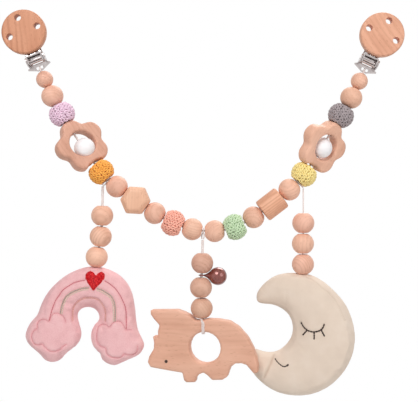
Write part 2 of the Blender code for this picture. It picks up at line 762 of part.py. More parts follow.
    # Lever: a tongue behind the disc, a comb round its edge, cheeks on the pin, a cam
    back = root - PAD_BASE - PAD_TOOTH - CLEARANCE
    disc_back = back - SHEET - CLEARANCE
    comb_front = -EAR_REACH - CLEARANCE
    inner = half - SHEET - CLEARANCE
    floor_top = PIN_TO_DISC - CLEARANCE
    tongue_top = JAW_LENGTH + SHEET
    tongue_outline = [
        (-inner, floor_top - SHEET),
        (inner, floor_top - SHEET),
        *[
            (inner * math.cos(a), tongue_top - inner + inner * math.sin(a))
            for a in [math.pi * i / 8 for i in range(9)]
        ],
    ]
    lever = flat(
        side + "_clip_lever",
        (tongue_outline,),
        SHEET,
        0,
        NICKEL,
        place @ Matrix.Translation((0, deep(back - SHEET / 2), 0)) @ stand,
        home=place,
    )
    floor_depth = back - SHEET / 2 - comb_front
    floor = box(
        side + "_lever_floor",
        (inner * 2, floor_depth, SHEET),
        place @ Matrix.Translation((0, deep(comb_front + floor_depth / 2), floor_top - SHEET / 2)),
    )
    apron_height = SHEET * 1.4
    apron = box(
        side + "_lever_apron",
        (inner * 2, SHEET, apron_height),
        place
        @ Matrix.Translation((0, deep(comb_front + SHEET / 2), floor_top - SHEET / 2 - apron_height / 2)),
    )
    cheek_low = -CAM_DIAMETER
    cheek_height = floor_top - SHEET / 2 - cheek_low
    cheek_depth = -SHEET - comb_front - SHEET / 2 - CLEARANCE
    parts = [floor, apron]
    for way in (-1, 1):
        parts.append(
            box(
                f"{side}_lever_cheek_{way}",
                (SHEET, cheek_depth, cheek_height),
                place
                @ Matrix.Translation(
                    (
                        way * (inner - SHEET / 2),
                        deep(comb_front + SHEET / 2 + cheek_depth / 2),
                        cheek_low + cheek_height / 2,
                    )
                ),
            )
        )
    cam_place = (0, PIN_DEPTH / 2 - CAM_DIAMETER / 4, cheek_low / 2)
    parts.append(
        rod(
            side + "_lever_cam",
            CAM_DIAMETER,
            inner * 2 - SHEET,
            place @ Matrix.Translation(cam_place) @ Matrix.Rotation(math.pi / 2, 4, "Y"),
            10,
        )
    )
    for part in parts:
        cut(lever, part, "UNION")
    gap = inner * 2 / 4
    for i in (-1, 0, 1):
        comb = box(
            f"{side}_comb_{i}",
            (COMB_SLOT, floor_depth - SHEET, SHEET * 2),
            place
            @ Matrix.Translation((i * gap, deep(comb_front + (floor_depth - SHEET) / 2 - SHEET / 2), floor_top)),
        )
        cut(lever, comb)
    cut(lever, rod(side + "_lever_bearing", hole, PLATE_WIDTH, bearing, 12))

    # Disc, with three vent holes
    disc_middle = (0, deep(disc_back - DISC_THICKNESS / 2), PIN_TO_DISC + DISC_DIAMETER / 2)
    disc_place = place @ Matrix.Translation(disc_middle) @ stand
    ring = [
        (DISC_DIAMETER / 2 * math.cos(math.tau * i / 32), DISC_DIAMETER / 2 * math.sin(math.tau * i / 32))
        for i in range(32)
    ]
    disc = flat(side + "_clip_disc", (ring,), DISC_THICKNESS, DISC_ROUNDING, BEECH, disc_place, home=place)
    smooth(disc.data, math.radians(40))
    for i in range(3):
        a = math.pi / 2 * i
        middle = Matrix.Translation((VENT_CIRCLE_RADIUS * math.cos(a), VENT_CIRCLE_RADIUS * math.sin(a), 0))
        vent = rod(f"{side}_vent_{i}", VENT_DIAMETER, DISC_THICKNESS + CUT_OVERRUN, disc_place @ middle, 12)
        cut(disc, vent)


clip("left", left_pin, left_up)
clip("right", right_pin, right_up)


def cord_end(up, way):
    """The cord's loop through a strap slot, from its end in the first bead to the strand.

    Way is 1 for the left end and -1 for the right; points run from the cord's tip.
    """
    start = strand.at(0) if way > 0 else strand.at(strand.length)
    out = Vector((0, SHEET / 2 + CLEARANCE + CORD, 0))
    near = Vector((0, BORE - CLEARANCE - CORD, 0))
    top = STRAP_BAR + CLEARANCE + CORD
    mouth = -STRAP_TAIL
    return [
        start + up * (mouth - CORD_END_LENGTH) + near,
        start + up * (mouth - CORD_END_LENGTH / 2) + near,
        start + up * mouth + near,
        start + out,
        start + up * STRAP_BAR / 2 + out,
        start + up * (STRAP_BAR + CLEARANCE) + out * 0.86,
        start + up * (top + CORD / 2) + out * 0.4,
        start + up * (top + CORD / 2) - out * 0.4,
        start + up * (STRAP_BAR + CLEARANCE) - out * 0.86,
        start + up * STRAP_BAR / 2 - out,
        start - out,
        start + up * mouth - near,
        start + up * (mouth - CORD_END_LENGTH / 2) - near,
        start + up * (mouth - CORD_END_LENGTH) - near,
    ]


# The strand's cord, whole from clip to clip
run_in = STRAP_TAIL + END_LENGTH
steps = 36
through = [strand.at(run_in + (strand.length - 2 * run_in) * i / steps) for i in range(steps + 1)]
cord_points = eased([*cord_end(left_up, 1), through[0]], 1)[:-1] + through
cord_points += list(reversed(cord_end(right_up, -1)))
tube("main_cord", cord_points, CORD_DIAMETER, CORD_WHITE)


def dropper(side, station, length, leans, spread, gaps):
    """The hitch, string and beads of one dropper. Returns the place and way of the toy."""
    hang = strand.at(station)
    place = frame(hang, strand.tangent(station, WOOD_LENGTH / 2))
    down = place.col[0].xyz
    back = Vector((0, 1, 0))
    wrap = CORD + CLEARANCE + STRING

    # Hitch: the doubled string's bight over the cord, squeezed between two beads
    bight = [down * (wrap * -math.cos(a)) + back * (wrap * math.sin(a)) for a in [math.pi * i / 8 for i in range(-3, 4)]]
    legs = []
    for share in (1, 0.72, 0.44, 0.22):
        apart = LEG + (wrap - LEG) * min(1, 1.5 * (1 - share))
        legs.append((down * (HITCH_REACH * share), back * apart))
    hitch = [hang + a - b for a, b in legs] + [hang + point for point in bight]
    hitch += [hang + a + b for a, b in reversed(legs)]
    tube(side + "_hitch", hitch, STRING_DIAMETER, CORD_WHITE, hang)

    # Route of the string, from the hitch through its three beads
    pivot = hang + down * HITCH_REACH
    middles = [pivot + leaning(leans[0]) * (length + WOOD_LENGTH / 2)]
    for i, gap in enumerate(gaps):
        gap += WOOD_MOUTH / 2 * math.tan(abs(leans[i + 2] - leans[i]) / 2)
        middles.append(middles[-1] + leaning(leans[i + 1]) * (WOOD_LENGTH + gap))
    end = middles[-1] + leaning(leans[3]) * WOOD_LENGTH
    first = pivot + leaning(leans[0]) * (CLEARANCE + STRING)
    route = Route(eased([first, *middles, end], 10))
    marks = [route.marks[10 * (i + 1)] for i in range(3)]

    # String: down on one side, round inside the last bead, up on the other
    stop = marks[2] - STRING - CLEARANCE
    legs = []
    steps = 12
    for i in range(steps + 1):
        distance = stop * i / steps
        along = route.tangent(max(distance, CLEARANCE), CLEARANCE)
        side_way = back.cross(along).normalized()
        turned = spread * min(1, distance / (length / 2))
        legs.append((route.at(distance), side_way * math.sin(turned) + back * math.cos(turned), along))
    at, apart, along = legs[-1]
    around = [
        at + along * (LEG * math.sin(a)) + apart * (LEG * math.cos(a)) for a in (math.pi / 4, math.pi / 2, 3 * math.pi / 4)
    ]
    points = [at + apart * LEG for at, apart, along in legs] + around
    points += [at - apart * LEG for at, apart, along in reversed(legs)]
    tube(side + "_string", points, STRING_DIAMETER, CORD_WHITE, pivot)

    for i, distance in enumerate(marks):
        name = f"{side}_dropper_bead_{i + 1}"
        along = route.tangent(distance, WOOD_LENGTH / 4)
        turned_bead(name, WOOD_PROFILE, BEECH, frame(route.at(distance), along))
    return pivot, route, marks


def toy_loop(name, middle, along, shape):
    """The toy's own loop of string, its bight in the last bead. Shape gives the legs'
    places below the bead's middle, as (down, apart) pairs; the way apart is Y."""
    back = Vector((0, 1, 0))
    top = STRING_DIAMETER + CLEARANCE
    bight = [(top + LEG - LEG * math.sin(a), LEG * math.cos(a)) for a in [math.pi * i / 6 for i in range(1, 6)]]
    front = [middle + along * d - back * s for d, s in reversed(shape)]
    rear = [middle + along * d + back * s for d, s in shape]
    points = front + [middle + along * d - back * s for d, s in bight] + rear
    return points


def stuffed(name, sections, ends, width, height, thickness, hang, surface, matrix):
    """A stuffed form between two sewn edges: each section swells in the middle and
    comes down to the seam at both edges, and the form closes at its two ends."""

    def spot(share):
        return Vector(((share[0] - hang[0]) * width, 0, (share[1] - hang[1]) * height))

    around = 5
    shape = bmesh.new()
    rings = []
    outers = eased([spot(outer) for outer, inner in sections], 2)
    inners = eased([spot(inner) for outer, inner in sections], 2)
    widest = max((a - b).length for a, b in zip(outers, inners))
    for a, b in zip(outers, inners):
        across = (a - b).length
        crown = thickness / 2 * math.sqrt(min(1, across / widest * 1.35)) - SEAM_THICKNESS / 2
        ring = []
        for side in (-1, 1):
            for i in range(around + 1):
                t = math.pi * i / around
                if side > 0:
                    t = math.pi - t
                middle = a.lerp(b, (1 - math.cos(t)) / 2)
                middle.y = side * (SEAM_THICKNESS / 2 + crown * math.sin(t) ** 0.8)
                ring.append(shape.verts.new(middle))
        rings.append(ring)
    for first, second in zip(rings, rings[1:]):
        for i in range(len(first)):
            j = (i + 1) % len(first)
            shape.faces.new((first[i], first[j], second[j], second[i]))
    for ring, end in ((rings[0], ends[0]), (rings[-1], ends[1])):
        tip = shape.verts.new(spot(end))
        for i in range(len(ring)):
            shape.faces.new((ring[i], ring[(i + 1) % len(ring)], tip))
    bmesh.ops.recalc_face_normals(shape, faces=shape.faces)
    piece = add(name, from_bmesh(name, shape), surface, matrix)
    smooth(piece.data, math.radians(60))
    return piece


# Left dropper, with the rainbow
left_pivot, left_route, left_marks = dropper(
    "left", hitches[0], LEFT_STRING_LENGTH, LEFT_LEANS, math.pi / 2, (DROPPER_GAP, DROPPER_GAP)
)
last = left_route.at(left_marks[2])
along = left_route.tangent(left_marks[2], WOOD_LENGTH / 4)
rainbow_hang = last + along * (WOOD_LENGTH / 2 + CLEARANCE * 2)
stub = WOOD_LENGTH / 2 - CLEARANCE
points = toy_loop("rainbow_loop", last, along, [(WOOD_LENGTH / 4, LEG), (stub, LEG)])
tube("rainbow_loop", points, STRING_DIAMETER, CORD_WHITE, rainbow_hang)
stuffed(
    "rainbow",
    RAINBOW_SHARES,
    RAINBOW_ENDS_SHARES,
    RAINBOW_WIDTH,
    RAINBOW_HEIGHT,
    RAINBOW_THICKNESS,
    RAINBOW_HANG_SHARE,
    PINK_PLUSH,
    Matrix.Translation(rainbow_hang),
)

# Right dropper, with the moon
right_pivot, right_route, right_marks = dropper(
    "right", hitches[2], RIGHT_STRING_LENGTH, RIGHT_LEANS, 0, (DROPPER_GAP, DROPPER_GAP)
)
last = right_route.at(right_marks[2])
along = right_route.tangent(right_marks[2], WOOD_LENGTH / 4)
moon_hang = last + along * (WOOD_LENGTH / 2 + CLEARANCE * 2)
points = toy_loop("moon_loop", last, along, [(WOOD_LENGTH / 4, LEG), (stub, LEG)])
tube("moon_loop", points, STRING_DIAMETER, CORD_WHITE, moon_hang)
stuffed(
    "moon",
    MOON_SHARES,
    MOON_ENDS_SHARES,
    MOON_WIDTH,
    MOON_HEIGHT,
    MOON_THICKNESS,
    MOON_HANG_SHARE,
    CREAM_PLUSH,
    Matrix.Translation(moon_hang) @ Matrix.Rotation(-MOON_TURN, 4, "Z"),
)

# Middle dropper, with the bell between its first two beads and the beech animal
middle_pivot, middle_route, middle_marks = dropper(
    "middle", hitches[1], MIDDLE_STRING_LENGTH, MIDDLE_LEANS, math.pi / 2, (BELL_GAP, DROPPER_GAP)
)
last = middle_route.at(middle_marks[2])
along = middle_route.tangent(middle_marks[2], WOOD_LENGTH / 4)
fox_hang = last + along * (WOOD_LENGTH / 2 + TOY_GAP)
fox_place = Matrix.Translation(fox_hang) @ Matrix.Rotation(-FOX_TURN, 4, "Z")


def fox_spot(share):
    """A point of the animal's outline about the place it hangs from."""
    return Vector(((share[0] - FOX_HANG_SHARE[0]) * FOX_LENGTH, (share[1] - FOX_HANG_SHARE[1]) * FOX_HEIGHT))


outline = [tuple(point) for point in eased([fox_spot(share) for share in FOX_OUTLINE_SHARES], 1, closed=True)]
hole_middle = fox_spot(FOX_HOLE_SHARE)
hole = [
    tuple(hole_middle + Vector((math.cos(-math.tau * i / 24), math.sin(-math.tau * i / 24))) * FOX_HOLE_DIAMETER / 2)
    for i in range(24)
]
upright = fox_place @ Matrix.Rotation(math.pi / 2, 4, "X")
fox = flat("fox", (outline, hole), FOX_THICKNESS, FOX_ROUNDING, BEECH, upright, home=fox_place)
smooth(fox.data, math.radians(45))

# Its loop of string, over the rim above the hole
half = FOX_THICKNESS / 2 + CLEARANCE + STRING
drop = WOOD_LENGTH / 2
rim = math.sqrt((FOX_HOLE_DIAMETER / 2) ** 2 - hole_middle.x**2)
rim_low = -(hole_middle.y + rim)
turn_down = Matrix.Rotation(-FOX_TURN, 3, "Z")
loop = [
    (STRING_DIAMETER + CLEARANCE, 0),
    (STRING_DIAMETER + CLEARANCE + LEG * 0.4, LEG * 0.8),
    (drop / 2, LEG),
    (drop - STRING, LEG),
    (drop + TOY_GAP / 2, LEG + STRING * 2),
    (drop + TOY_GAP / 2 + CLEARANCE / 2, half * 0.55),
    (drop + TOY_GAP, half * 0.88),
    (drop + TOY_GAP * 2, half),
    (drop + TOY_GAP + rim_low / 2, half),
    (drop + TOY_GAP + rim_low - STRING, half),
    (drop + TOY_GAP + rim_low + STRING, half * 0.86),
    (drop + TOY_GAP + rim_low + STRING * 2 + CLEARANCE, half * 0.45),
    (drop + TOY_GAP + rim_low + STRING * 2 + CLEARANCE, 0),
]
behind = [(d, s) for d, s in loop]
before = [(d, -s) for d, s in reversed(loop[1:-1])]
fox_points = []
for d, s in behind + before:
    away = turn_down @ Vector((0, s, 0))
    fox_points.append(last + along * d + away)
tube("fox_loop", fox_points, STRING_DIAMETER, CORD_WHITE, fox_hang, closed=True)

# Bell: a hollow ball with a slot at its far end, on a ring round the string
between = (middle_marks[0] + middle_marks[1]) / 2
bell_at = middle_route.at(between)
bell_along = middle_route.tangent(between, WOOD_LENGTH / 4)
reach = math.sqrt(
    (WOOD_DIAMETER / 2 + BELL_DIAMETER / 2 + CLEARANCE * 1.5) ** 2 - ((WOOD_LENGTH + BELL_GAP) / 2) ** 2
)
bell_frame = frame(bell_at, bell_along)
out = Matrix.Rotation(math.pi / 2, 4, "Y")
if (bell_frame @ out).col[2].x < 0:
    out = Matrix.Rotation(-math.pi / 2, 4, "Y")
bell_place = bell_frame @ out
ball = BELL_DIAMETER / 2
ring_inner = LEG + STRING + CLEARANCE * 1.5
neck = BELL_RING_WIRE * 0.75
start = math.asin(neck * 2.2 / ball)
profile = [(0, reach + ball)]
profile += [
    (ball * math.sin(a), reach + ball * math.cos(a))
    for a in [(math.pi - start) * i / 9 for i in range(1, 10)]
]
profile += [(neck, ring_inner + BELL_RING_WIRE), (neck, ring_inner + BELL_RING_WIRE / 2)]
profile += [(0, ring_inner + BELL_RING_WIRE / 2)]
bell = add("bell", turned_data("bell", profile, closed=False), BELL_BROWN, bell_place)
turn(bell, 14)
shape = bmesh.new()
bmesh.ops.create_uvsphere(shape, u_segments=12, v_segments=7, radius=ball - BELL_WALL)
hollow = add(
    "bell_hollow",
    from_bmesh("bell_hollow", shape),
    None,
    bell_place @ Matrix.Translation((0, 0, reach)),
    cutters,
)
cut(bell, hollow)
slot = box(
    "bell_slot",
    (BELL_SLOT, BELL_DIAMETER * 0.8, BELL_DIAMETER / 2),
    bell_place @ Matrix.Translation((0, 0, reach + ball)),
)
cut(bell, slot)
ring_profile = [
    (
        ring_inner + BELL_RING_WIRE / 2 + BELL_RING_WIRE / 2 * math.cos(a),
        BELL_RING_WIRE / 2 * math.sin(a),
    )
    for a in [-math.tau * i / 8 for i in range(8)]
]
ring = add("bell_ring", turned_data("bell_ring", ring_profile), None, bell_frame, cutters)
turn(ring, 12)
cut(bell, ring, "UNION")

# Pellet, at rest in the bottom of the bell
shape = bmesh.new()
bmesh.ops.create_uvsphere(shape, u_segments=10, v_segments=6, radius=PELLET_DIAMETER / 2)
sunk = ball - BELL_WALL - PELLET_DIAMETER / 2 - CLEARANCE * 2
bell_middle = (bell_place @ Matrix.Translation((0, 0, reach))).translation
pellet = add(
    "bell_pellet",
    from_bmesh("bell_pellet", shape),
    NICKEL,
    Matrix.Translation(bell_middle - Vector((0, 0, sunk))),
)
smooth(pellet.data)
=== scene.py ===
"""The pram chain toy as it hangs: beech, crocheted cotton, nickel-plated clips and plush."""

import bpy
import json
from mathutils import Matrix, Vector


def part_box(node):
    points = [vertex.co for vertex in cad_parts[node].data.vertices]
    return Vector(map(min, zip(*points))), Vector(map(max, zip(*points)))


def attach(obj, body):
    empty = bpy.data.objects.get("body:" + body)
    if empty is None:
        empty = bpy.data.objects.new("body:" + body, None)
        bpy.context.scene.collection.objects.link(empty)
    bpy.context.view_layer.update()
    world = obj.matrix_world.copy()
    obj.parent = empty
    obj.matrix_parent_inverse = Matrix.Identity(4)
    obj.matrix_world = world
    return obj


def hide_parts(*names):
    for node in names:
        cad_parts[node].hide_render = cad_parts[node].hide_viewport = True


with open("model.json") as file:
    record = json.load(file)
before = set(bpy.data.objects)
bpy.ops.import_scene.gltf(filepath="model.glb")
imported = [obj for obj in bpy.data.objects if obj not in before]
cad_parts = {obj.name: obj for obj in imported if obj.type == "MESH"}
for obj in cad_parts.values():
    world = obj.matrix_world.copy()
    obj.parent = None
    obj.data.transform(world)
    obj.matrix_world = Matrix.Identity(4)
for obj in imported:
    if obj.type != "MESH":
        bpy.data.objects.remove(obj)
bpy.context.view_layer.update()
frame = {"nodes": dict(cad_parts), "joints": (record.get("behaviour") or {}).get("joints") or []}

import json
import math
import random

import bmesh
import bpy
from mathutils import Matrix, Vector
from mathutils.bvhtree import BVHTree
from mathutils.kdtree import KDTree

BACK = Vector((0, 1, 0))
joints = {joint["name"]: joint for joint in frame["joints"]}


# The studio: a white room, a pale floor well below the hanging toy, one large soft light
# from the upper left and weaker ones from the right and from behind. The lens sees the toy
# from its front, level with its middle.
def placed(name, data, place=(0, 0, 0)):
    thing = bpy.data.objects.new(name, data)
    thing.location = place
    bpy.context.scene.collection.objects.link(thing)
    return thing


camera = placed("camera", bpy.data.cameras.new("camera"), (0.0047, -0.65, -0.1183))
camera.data.sensor_width = 36
camera.data.lens = 73.5
camera.data.clip_start = 0.01
camera.rotation_euler = (math.pi / 2, 0, 0)
bpy.context.scene.camera = camera
bpy.context.scene.view_settings.view_transform = "Standard"


def softbox(name, place, width, power):
    lamp = bpy.data.lights.new(name, "AREA")
    lamp.shape = "DISK"
    lamp.size = width
    lamp.energy = power
    aim = Vector((0, 0, -0.14)) - Vector(place)
    placed(name, lamp, place).rotation_euler = aim.to_track_quat("-Z", "Y").to_euler()


softbox("key_light", (-0.35, -1.0, 0.75), 0.8, 11.5)
softbox("fill_light", (0.9, -0.8, 0.2), 0.9, 4.5)
softbox("back_light", (0.35, 0.75, 0.9), 0.8, 8.5)


class Socket:
    """An output in a material's nodes. Python's operators on it add Math nodes."""

    def __init__(self, tree, output):
        self.tree = tree
        self.output = output

    def add(self, kind, settings, inputs=None, output=0):
        """Any other node, with its settings first and then its sockets' values or links."""
        node = self.tree.nodes.new("ShaderNode" + kind)
        for name, value in settings.items():
            setattr(node, name, value)
        for name, value in (inputs or {}).items():
            if isinstance(value, Socket):
                self.tree.links.new(value.output, node.inputs[name])
            else:
                node.inputs[name].default_value = value
        return Socket(self.tree, node.outputs[output])

    def maths(self, operation, *values):
        return self.add("Math", {"operation": operation}, dict(enumerate(values)))

    def __add__(self, other):
        return self.maths("ADD", self, other)

    def __mul__(self, other):
        return self.maths("MULTIPLY", self, other)

    def __pow__(self, other):
        return self.maths("POWER", self, other)

    def mixed(self, share, colour):
        """This colour, with a share of another one over it."""
        return self.add("Mix", {"data_type": "RGBA"}, {0: share, 6: self, 7: (*colour, 1)}, 2)

    def noise(self, scale, detail, squeeze=(1, 1, 1)):
        """Noise at this place, drawn out along an axis where the squeeze is small."""
        place = self.add("VectorMath", {"operation": "MULTIPLY"}, {0: self, 1: squeeze})
        return self.add("TexNoise", {}, {"Vector": place, "Scale": scale, "Detail": detail})

    def shaded(self, *stops):
        """A colour for this value, blended between (value, colour) stops."""
        made = self.add("ValToRGB", {}, {0: self})
        ramp = made.output.node.color_ramp
        while len(ramp.elements) < len(stops):
            ramp.elements.new(0.5)
        for stop, (position, colour) in zip(ramp.elements, stops):
            stop.position = position
            stop.color = (*colour, 1)
        return made


def finish(name, roughness, **settings):
    """A Principled material, and the place on the piece that its pattern starts from."""
    made = bpy.data.materials.new(name)
    made.use_nodes = True
    shader = made.node_tree.nodes["Principled BSDF"]
    shader.inputs["Roughness"].default_value = roughness
    for socket, value in settings.items():
        shader.inputs[socket.replace("_", " ")].default_value = value
    place = made.node_tree.nodes.new("ShaderNodeTexCoord").outputs["Object"]
    return made, Socket(made.node_tree, place)


def lay(made, bump=None, strength=0.5, depth=0.0002, **links):
    """Link what varies over the surface to a material's shader."""
    tree = made.node_tree
    if bump:
        inputs = {"Height": bump, "Strength": strength, "Distance": depth}
        links["Normal"] = bump.add("Bump", {}, inputs)
    for name, value in links.items():
        tree.links.new(value.output, tree.nodes["Principled BSDF"].inputs[name.replace("_", " ")])
    return made


# A pale matt floor, far enough down to stay out of the photograph. It shows nearly white
# and still takes the toy's shadow.
FLOOR_RADIUS = 1.35
FLOOR_HEIGHT = -0.6
shape = bmesh.new()
bmesh.ops.create_circle(shape, cap_ends=True, radius=FLOOR_RADIUS, segments=96)
floor = placed("floor", bpy.data.meshes.new("floor"), (0, 0, FLOOR_HEIGHT))
shape.to_mesh(floor.data)
shape.free()


def rays_seen(tree):
    """One where the lens, a mirror or glass looks, and none for light on the toy."""
    path = tree.nodes.new("ShaderNodeLightPath")
    seen = [Socket(tree, path.outputs[f"Is {kind} Ray"]) for kind in ("Camera", "Glossy", "Transmission")]
    return seen[0].maths("MINIMUM", seen[0] + seen[1] + seen[2], 1.0)


made, place = finish("matt_floor", 0.9)
tree = made.node_tree
lay(made, Base_Color=place.noise(6, 3).shaded((0.3, (0.84, 0.84, 0.83)), (0.7, (0.87, 0.87, 0.86))))
clean = place.add("Emission", {}, {"Color": (1, 1, 1, 1), "Strength": 1.0})
matt = Socket(tree, tree.nodes["Principled BSDF"].outputs[0])
both = place.add("MixShader", {}, {0: rays_seen(tree) * 0.8, 1: matt, 2: clean})
tree.links.new(both.output, tree.nodes["Material Output"].inputs["Surface"])
floor.data.materials.append(made)

# The room is white to the lens and in mirrors, and lights the toy only softly
room = bpy.data.worlds.new("room")
bpy.context.scene.world = room
room.use_nodes = True
tree = room.node_tree
wall = tree.nodes["Background"]
wall.inputs["Color"].default_value = (1, 1, 1, 1)
tree.links.new((rays_seen(tree) * 0.7 + 0.3).output, wall.inputs["Strength"])


# Round beads of unvarnished beech, turned on a lathe and drilled. Eight larger ones and
# two small end ones are strung on the cord, and three hang on each dropper.
WOOD_RADIUS = 0.0084
WOOD_HALF = 0.00745
WOOD_MOUTH = 0.00355
END_RADIUS = 0.00645
END_HALF = 0.00605
END_MOUTH = 0.00235
BORE = 0.002
grain_seed = random.Random(7)


def beech(name, tint, lines, spacing=0.0021, along="z", across="x"):
    """Beech with its grain along one axis of the piece, and growth lines across another."""
    made, place = finish(name, 0.5, Specular_IOR_Level=0.35)
    shift = [grain_seed.uniform(-0.3, 0.3) for axis in range(3)]
    place = place.add("VectorMath", {"operation": "ADD"}, {0: place, 1: shift})
    drawn, short, waved = ([share if axis == along else 1 for axis in "xyz"] for share in (0.06, 0.2, 0.3))
    board = place.add("SeparateXYZ", {}, {0: place}, "xyz".index(across))
    phase = board * (math.tau / spacing) + place.noise(70, 2, waved) * 13
    ring = (phase.maths("SINE", phase) * 0.5 + 0.5) ** 2.2
    uneven = place.noise(45, 1, waved)
    ring = ring * uneven.add("MapRange", {}, {0: uneven, 1: 0.36, 2: 0.6, 3: 0.2, 4: 1.0})
    fibre = place.noise(1500, 3, drawn)
    cells = place.add("VectorMath", {"operation": "MULTIPLY"}, {0: place, 1: short})
    fleck = place.add("TexVoronoi", {}, {"Vector": cells, "Scale": 800.0})
    fleck = fleck.add("MapRange", {}, {0: fleck, 1: 0.1, 2: 0.24, 3: 1.0, 4: 0.0})

    def tinted(*colour):
        return tuple(min(1, channel * share) for channel, share in zip(colour, tint))

    shades = tinted(0.9, 0.545, 0.375), tinted(0.84, 0.485, 0.325), tinted(0.73, 0.395, 0.255)
    colour = place.noise(95, 3, waved).shaded(*zip((0.28, 0.5, 0.72), shades))
    colour = colour.mixed(ring * lines, tinted(0.5, 0.23, 0.13))
    colour = colour.mixed(fibre * 0.25, tinted(0.92, 0.62, 0.46))
    colour = colour.mixed(fleck * 0.35, tinted(0.42, 0.19, 0.1))
    return lay(made, fibre + ring * 0.4, 0.2, 0.00012, Base_Color=colour, Roughness=fibre * 0.2 + 0.42)


def round_profile(radius, half, mouth, steps):
    """A bead's outside from one mouth to the other, its edges eased, and its bore."""
    start = math.asin(mouth / radius)
    reach = half / math.cos(start)
    sweep = [start + (math.pi - 2 * start) * i / steps for i in range(steps + 1)]
    outside = [(radius * math.sin(a), reach * math.cos(a)) for a in sweep]
    ease = BORE * 0.12
    top = [(BORE, half - ease * 2), (BORE + ease, half - ease * 0.4), (BORE + ease * 2.5, half)]
    return top + outside + [(r, -z) for r, z in reversed(top)]


def join_rings(shape, rings, closed=False, capped=False):
    """Faces from each ring of points to the next, and from the last to the first if closed."""
    before = rings[-1:] + rings[:-1] if closed else rings
    for first, second in zip(before, rings if closed else rings[1:]):
        for k in range(len(first)):
            shape.faces.new((first[k - 1], first[k], second[k], second[k - 1]))
    if capped:
        shape.faces.new(reversed(rings[0]))
        shape.faces.new(rings[-1])


def smooth_mesh(shape, name, sharp=None):
    """The finished shape as a mesh, its edges sharp past an angle where one is given."""
    bmesh.ops.recalc_face_normals(shape, faces=shape.faces)
    data = bpy.data.meshes.new(name)
    shape.to_mesh(data)
    shape.free()
    data.shade_smooth()
    if sharp:
        data.set_sharp_from_angle(angle=math.radians(sharp))
    return data


def around(count):
    """Angles at even steps all the way round."""
    return [math.tau * k / count for k in range(count)]


def turned_points(shape, profile, a):
    """A profile's points, as (radius, height), at an angle about Z."""
    return [shape.verts.new((r * math.cos(a), r * math.sin(a), z)) for r, z in profile]


def turned_mesh(name, profile, steps=40):
    """A closed profile turned about Z."""
    shape = bmesh.new()
    join_rings(shape, [turned_points(shape, profile, a) for a in around(steps)], closed=True)
    bmesh.ops.remove_doubles(shape, verts=shape.verts, dist=0.0000005)
    return smooth_mesh(shape, name, 40)


def joint_place(name):
    return Vector(joints[name]["pos_m"])


def on_axis(name, roll=0.0):
    """The place of a joint, with Z along its axis."""
    along = Vector(joints[name]["axis"]).normalized()
    x = BACK.cross(along)
    if x.length < 0.1:
        x = Vector((1, 0, 0))
    x.normalize()
    turned = Matrix((x, along.cross(x), along)).transposed().to_4x4()
    return Matrix.Translation(joint_place(name)) @ turned @ Matrix.Rotation(roll, 4, "Z")


def put(name, data, made, body, slot, *nodes, matrix=None):
    """One finished piece on its body, in place of its plain solids."""
    piece = placed(name, data)
    if matrix:
        piece.matrix_world = matrix
    data.materials.clear()
    data.materials.append(made)
    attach(piece, body)
    if nodes:
        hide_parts(*nodes)
    return piece


def wooden_bead(node, radius, half, mouth, tilt):
    data = turned_mesh(node, round_profile(radius, half, mouth, 18))
    # The bead was cut from a board whose grain runs at its own tilt
    turn = Matrix.Rotation(tilt, 4, "X") @ Matrix.Rotation(tilt * 1.7, 4, "Y")
    data.transform(turn.inverted())
    # The middle dropper's beads are of a darker, redder wood
    shade = grain_seed.uniform(0.97, 1.03) * (0.82 if node.startswith("middle") else 1)
    tint = (shade, shade * grain_seed.uniform(0.97, 1.01), shade * 1.06)
    made = beech(node + "_beech", tint, grain_seed.uniform(0.19, 0.36), grain_seed.uniform(0.0018, 0.003))
    lie = on_axis(node + "_spin", tilt * 3) @ turn
    put(node + "_turned", data, made, node + "_body", "beech", node, matrix=lie)


for number, tilt in enumerate((0.5, -1.2, 0.3, 1.4, -0.4, 1.1, 0.2, -0.8), 1):
    wooden_bead(f"wood_bead_{number}", WOOD_RADIUS, WOOD_HALF, WOOD_MOUTH, tilt)
for side in ("left", "middle", "right"):
    for number in (1, 2, 3):
        tilt = grain_seed.uniform(-1.3, 1.3)
        wooden_bead(f"{side}_dropper_bead_{number}", WOOD_RADIUS, WOOD_HALF, WOOD_MOUTH, tilt)
wooden_bead("left_end_bead", END_RADIUS, END_HALF, END_MOUTH, 0.6)
wooden_bead("right_end_bead", END_RADIUS, END_HALF, END_MOUTH, -0.7)


# The hexagonal bead, sawn from a six-sided beech bar, chamfered and drilled from flat to
# flat. Its corners are sanded a little round, and it is strung on the cord.
def eased_copy(node, made, slot, body, width, segments=2):
    """A CAD solid's own shape with every edge slightly eased."""
    sharp = math.radians(25)
    data = frame["nodes"][node].data.copy()
    shape = bmesh.new()
    shape.from_mesh(data)
    bmesh.ops.remove_doubles(shape, verts=shape.verts, dist=0.000004)
    bmesh.ops.dissolve_limit(shape, angle_limit=math.radians(1), verts=shape.verts, edges=shape.edges)
    shape.to_mesh(data)
    shape.free()
    for name in [layer.name for layer in data.uv_layers]:
        data.uv_layers.remove(data.uv_layers[name])
    data.shade_smooth()
    data.set_sharp_from_angle(angle=sharp)
    piece = put(node + "_eased", data, made, body, slot, node)
    ease = piece.modifiers.new("ease", "BEVEL")
    ease.width = width
    ease.segments = segments
    ease.limit_method = "ANGLE"
    ease.angle_limit = sharp
    return piece


made = beech("hexagon_beech", (0.97, 0.95, 0.94), 0.2)
hexagon = eased_copy("hexagon_bead", made, "beech", "hexagon_bead_body", 0.0011, 4)
# The bar is sawn a little wider than the bead is long
middle = Matrix.Translation(joint_place("hexagon_bead_spin"))
wider = Matrix.Scale(1.07, 4, BACK.cross(Vector(joints["hexagon_bead_spin"]["axis"])).normalized())
hexagon.data.transform(middle @ wider @ middle.inverted())


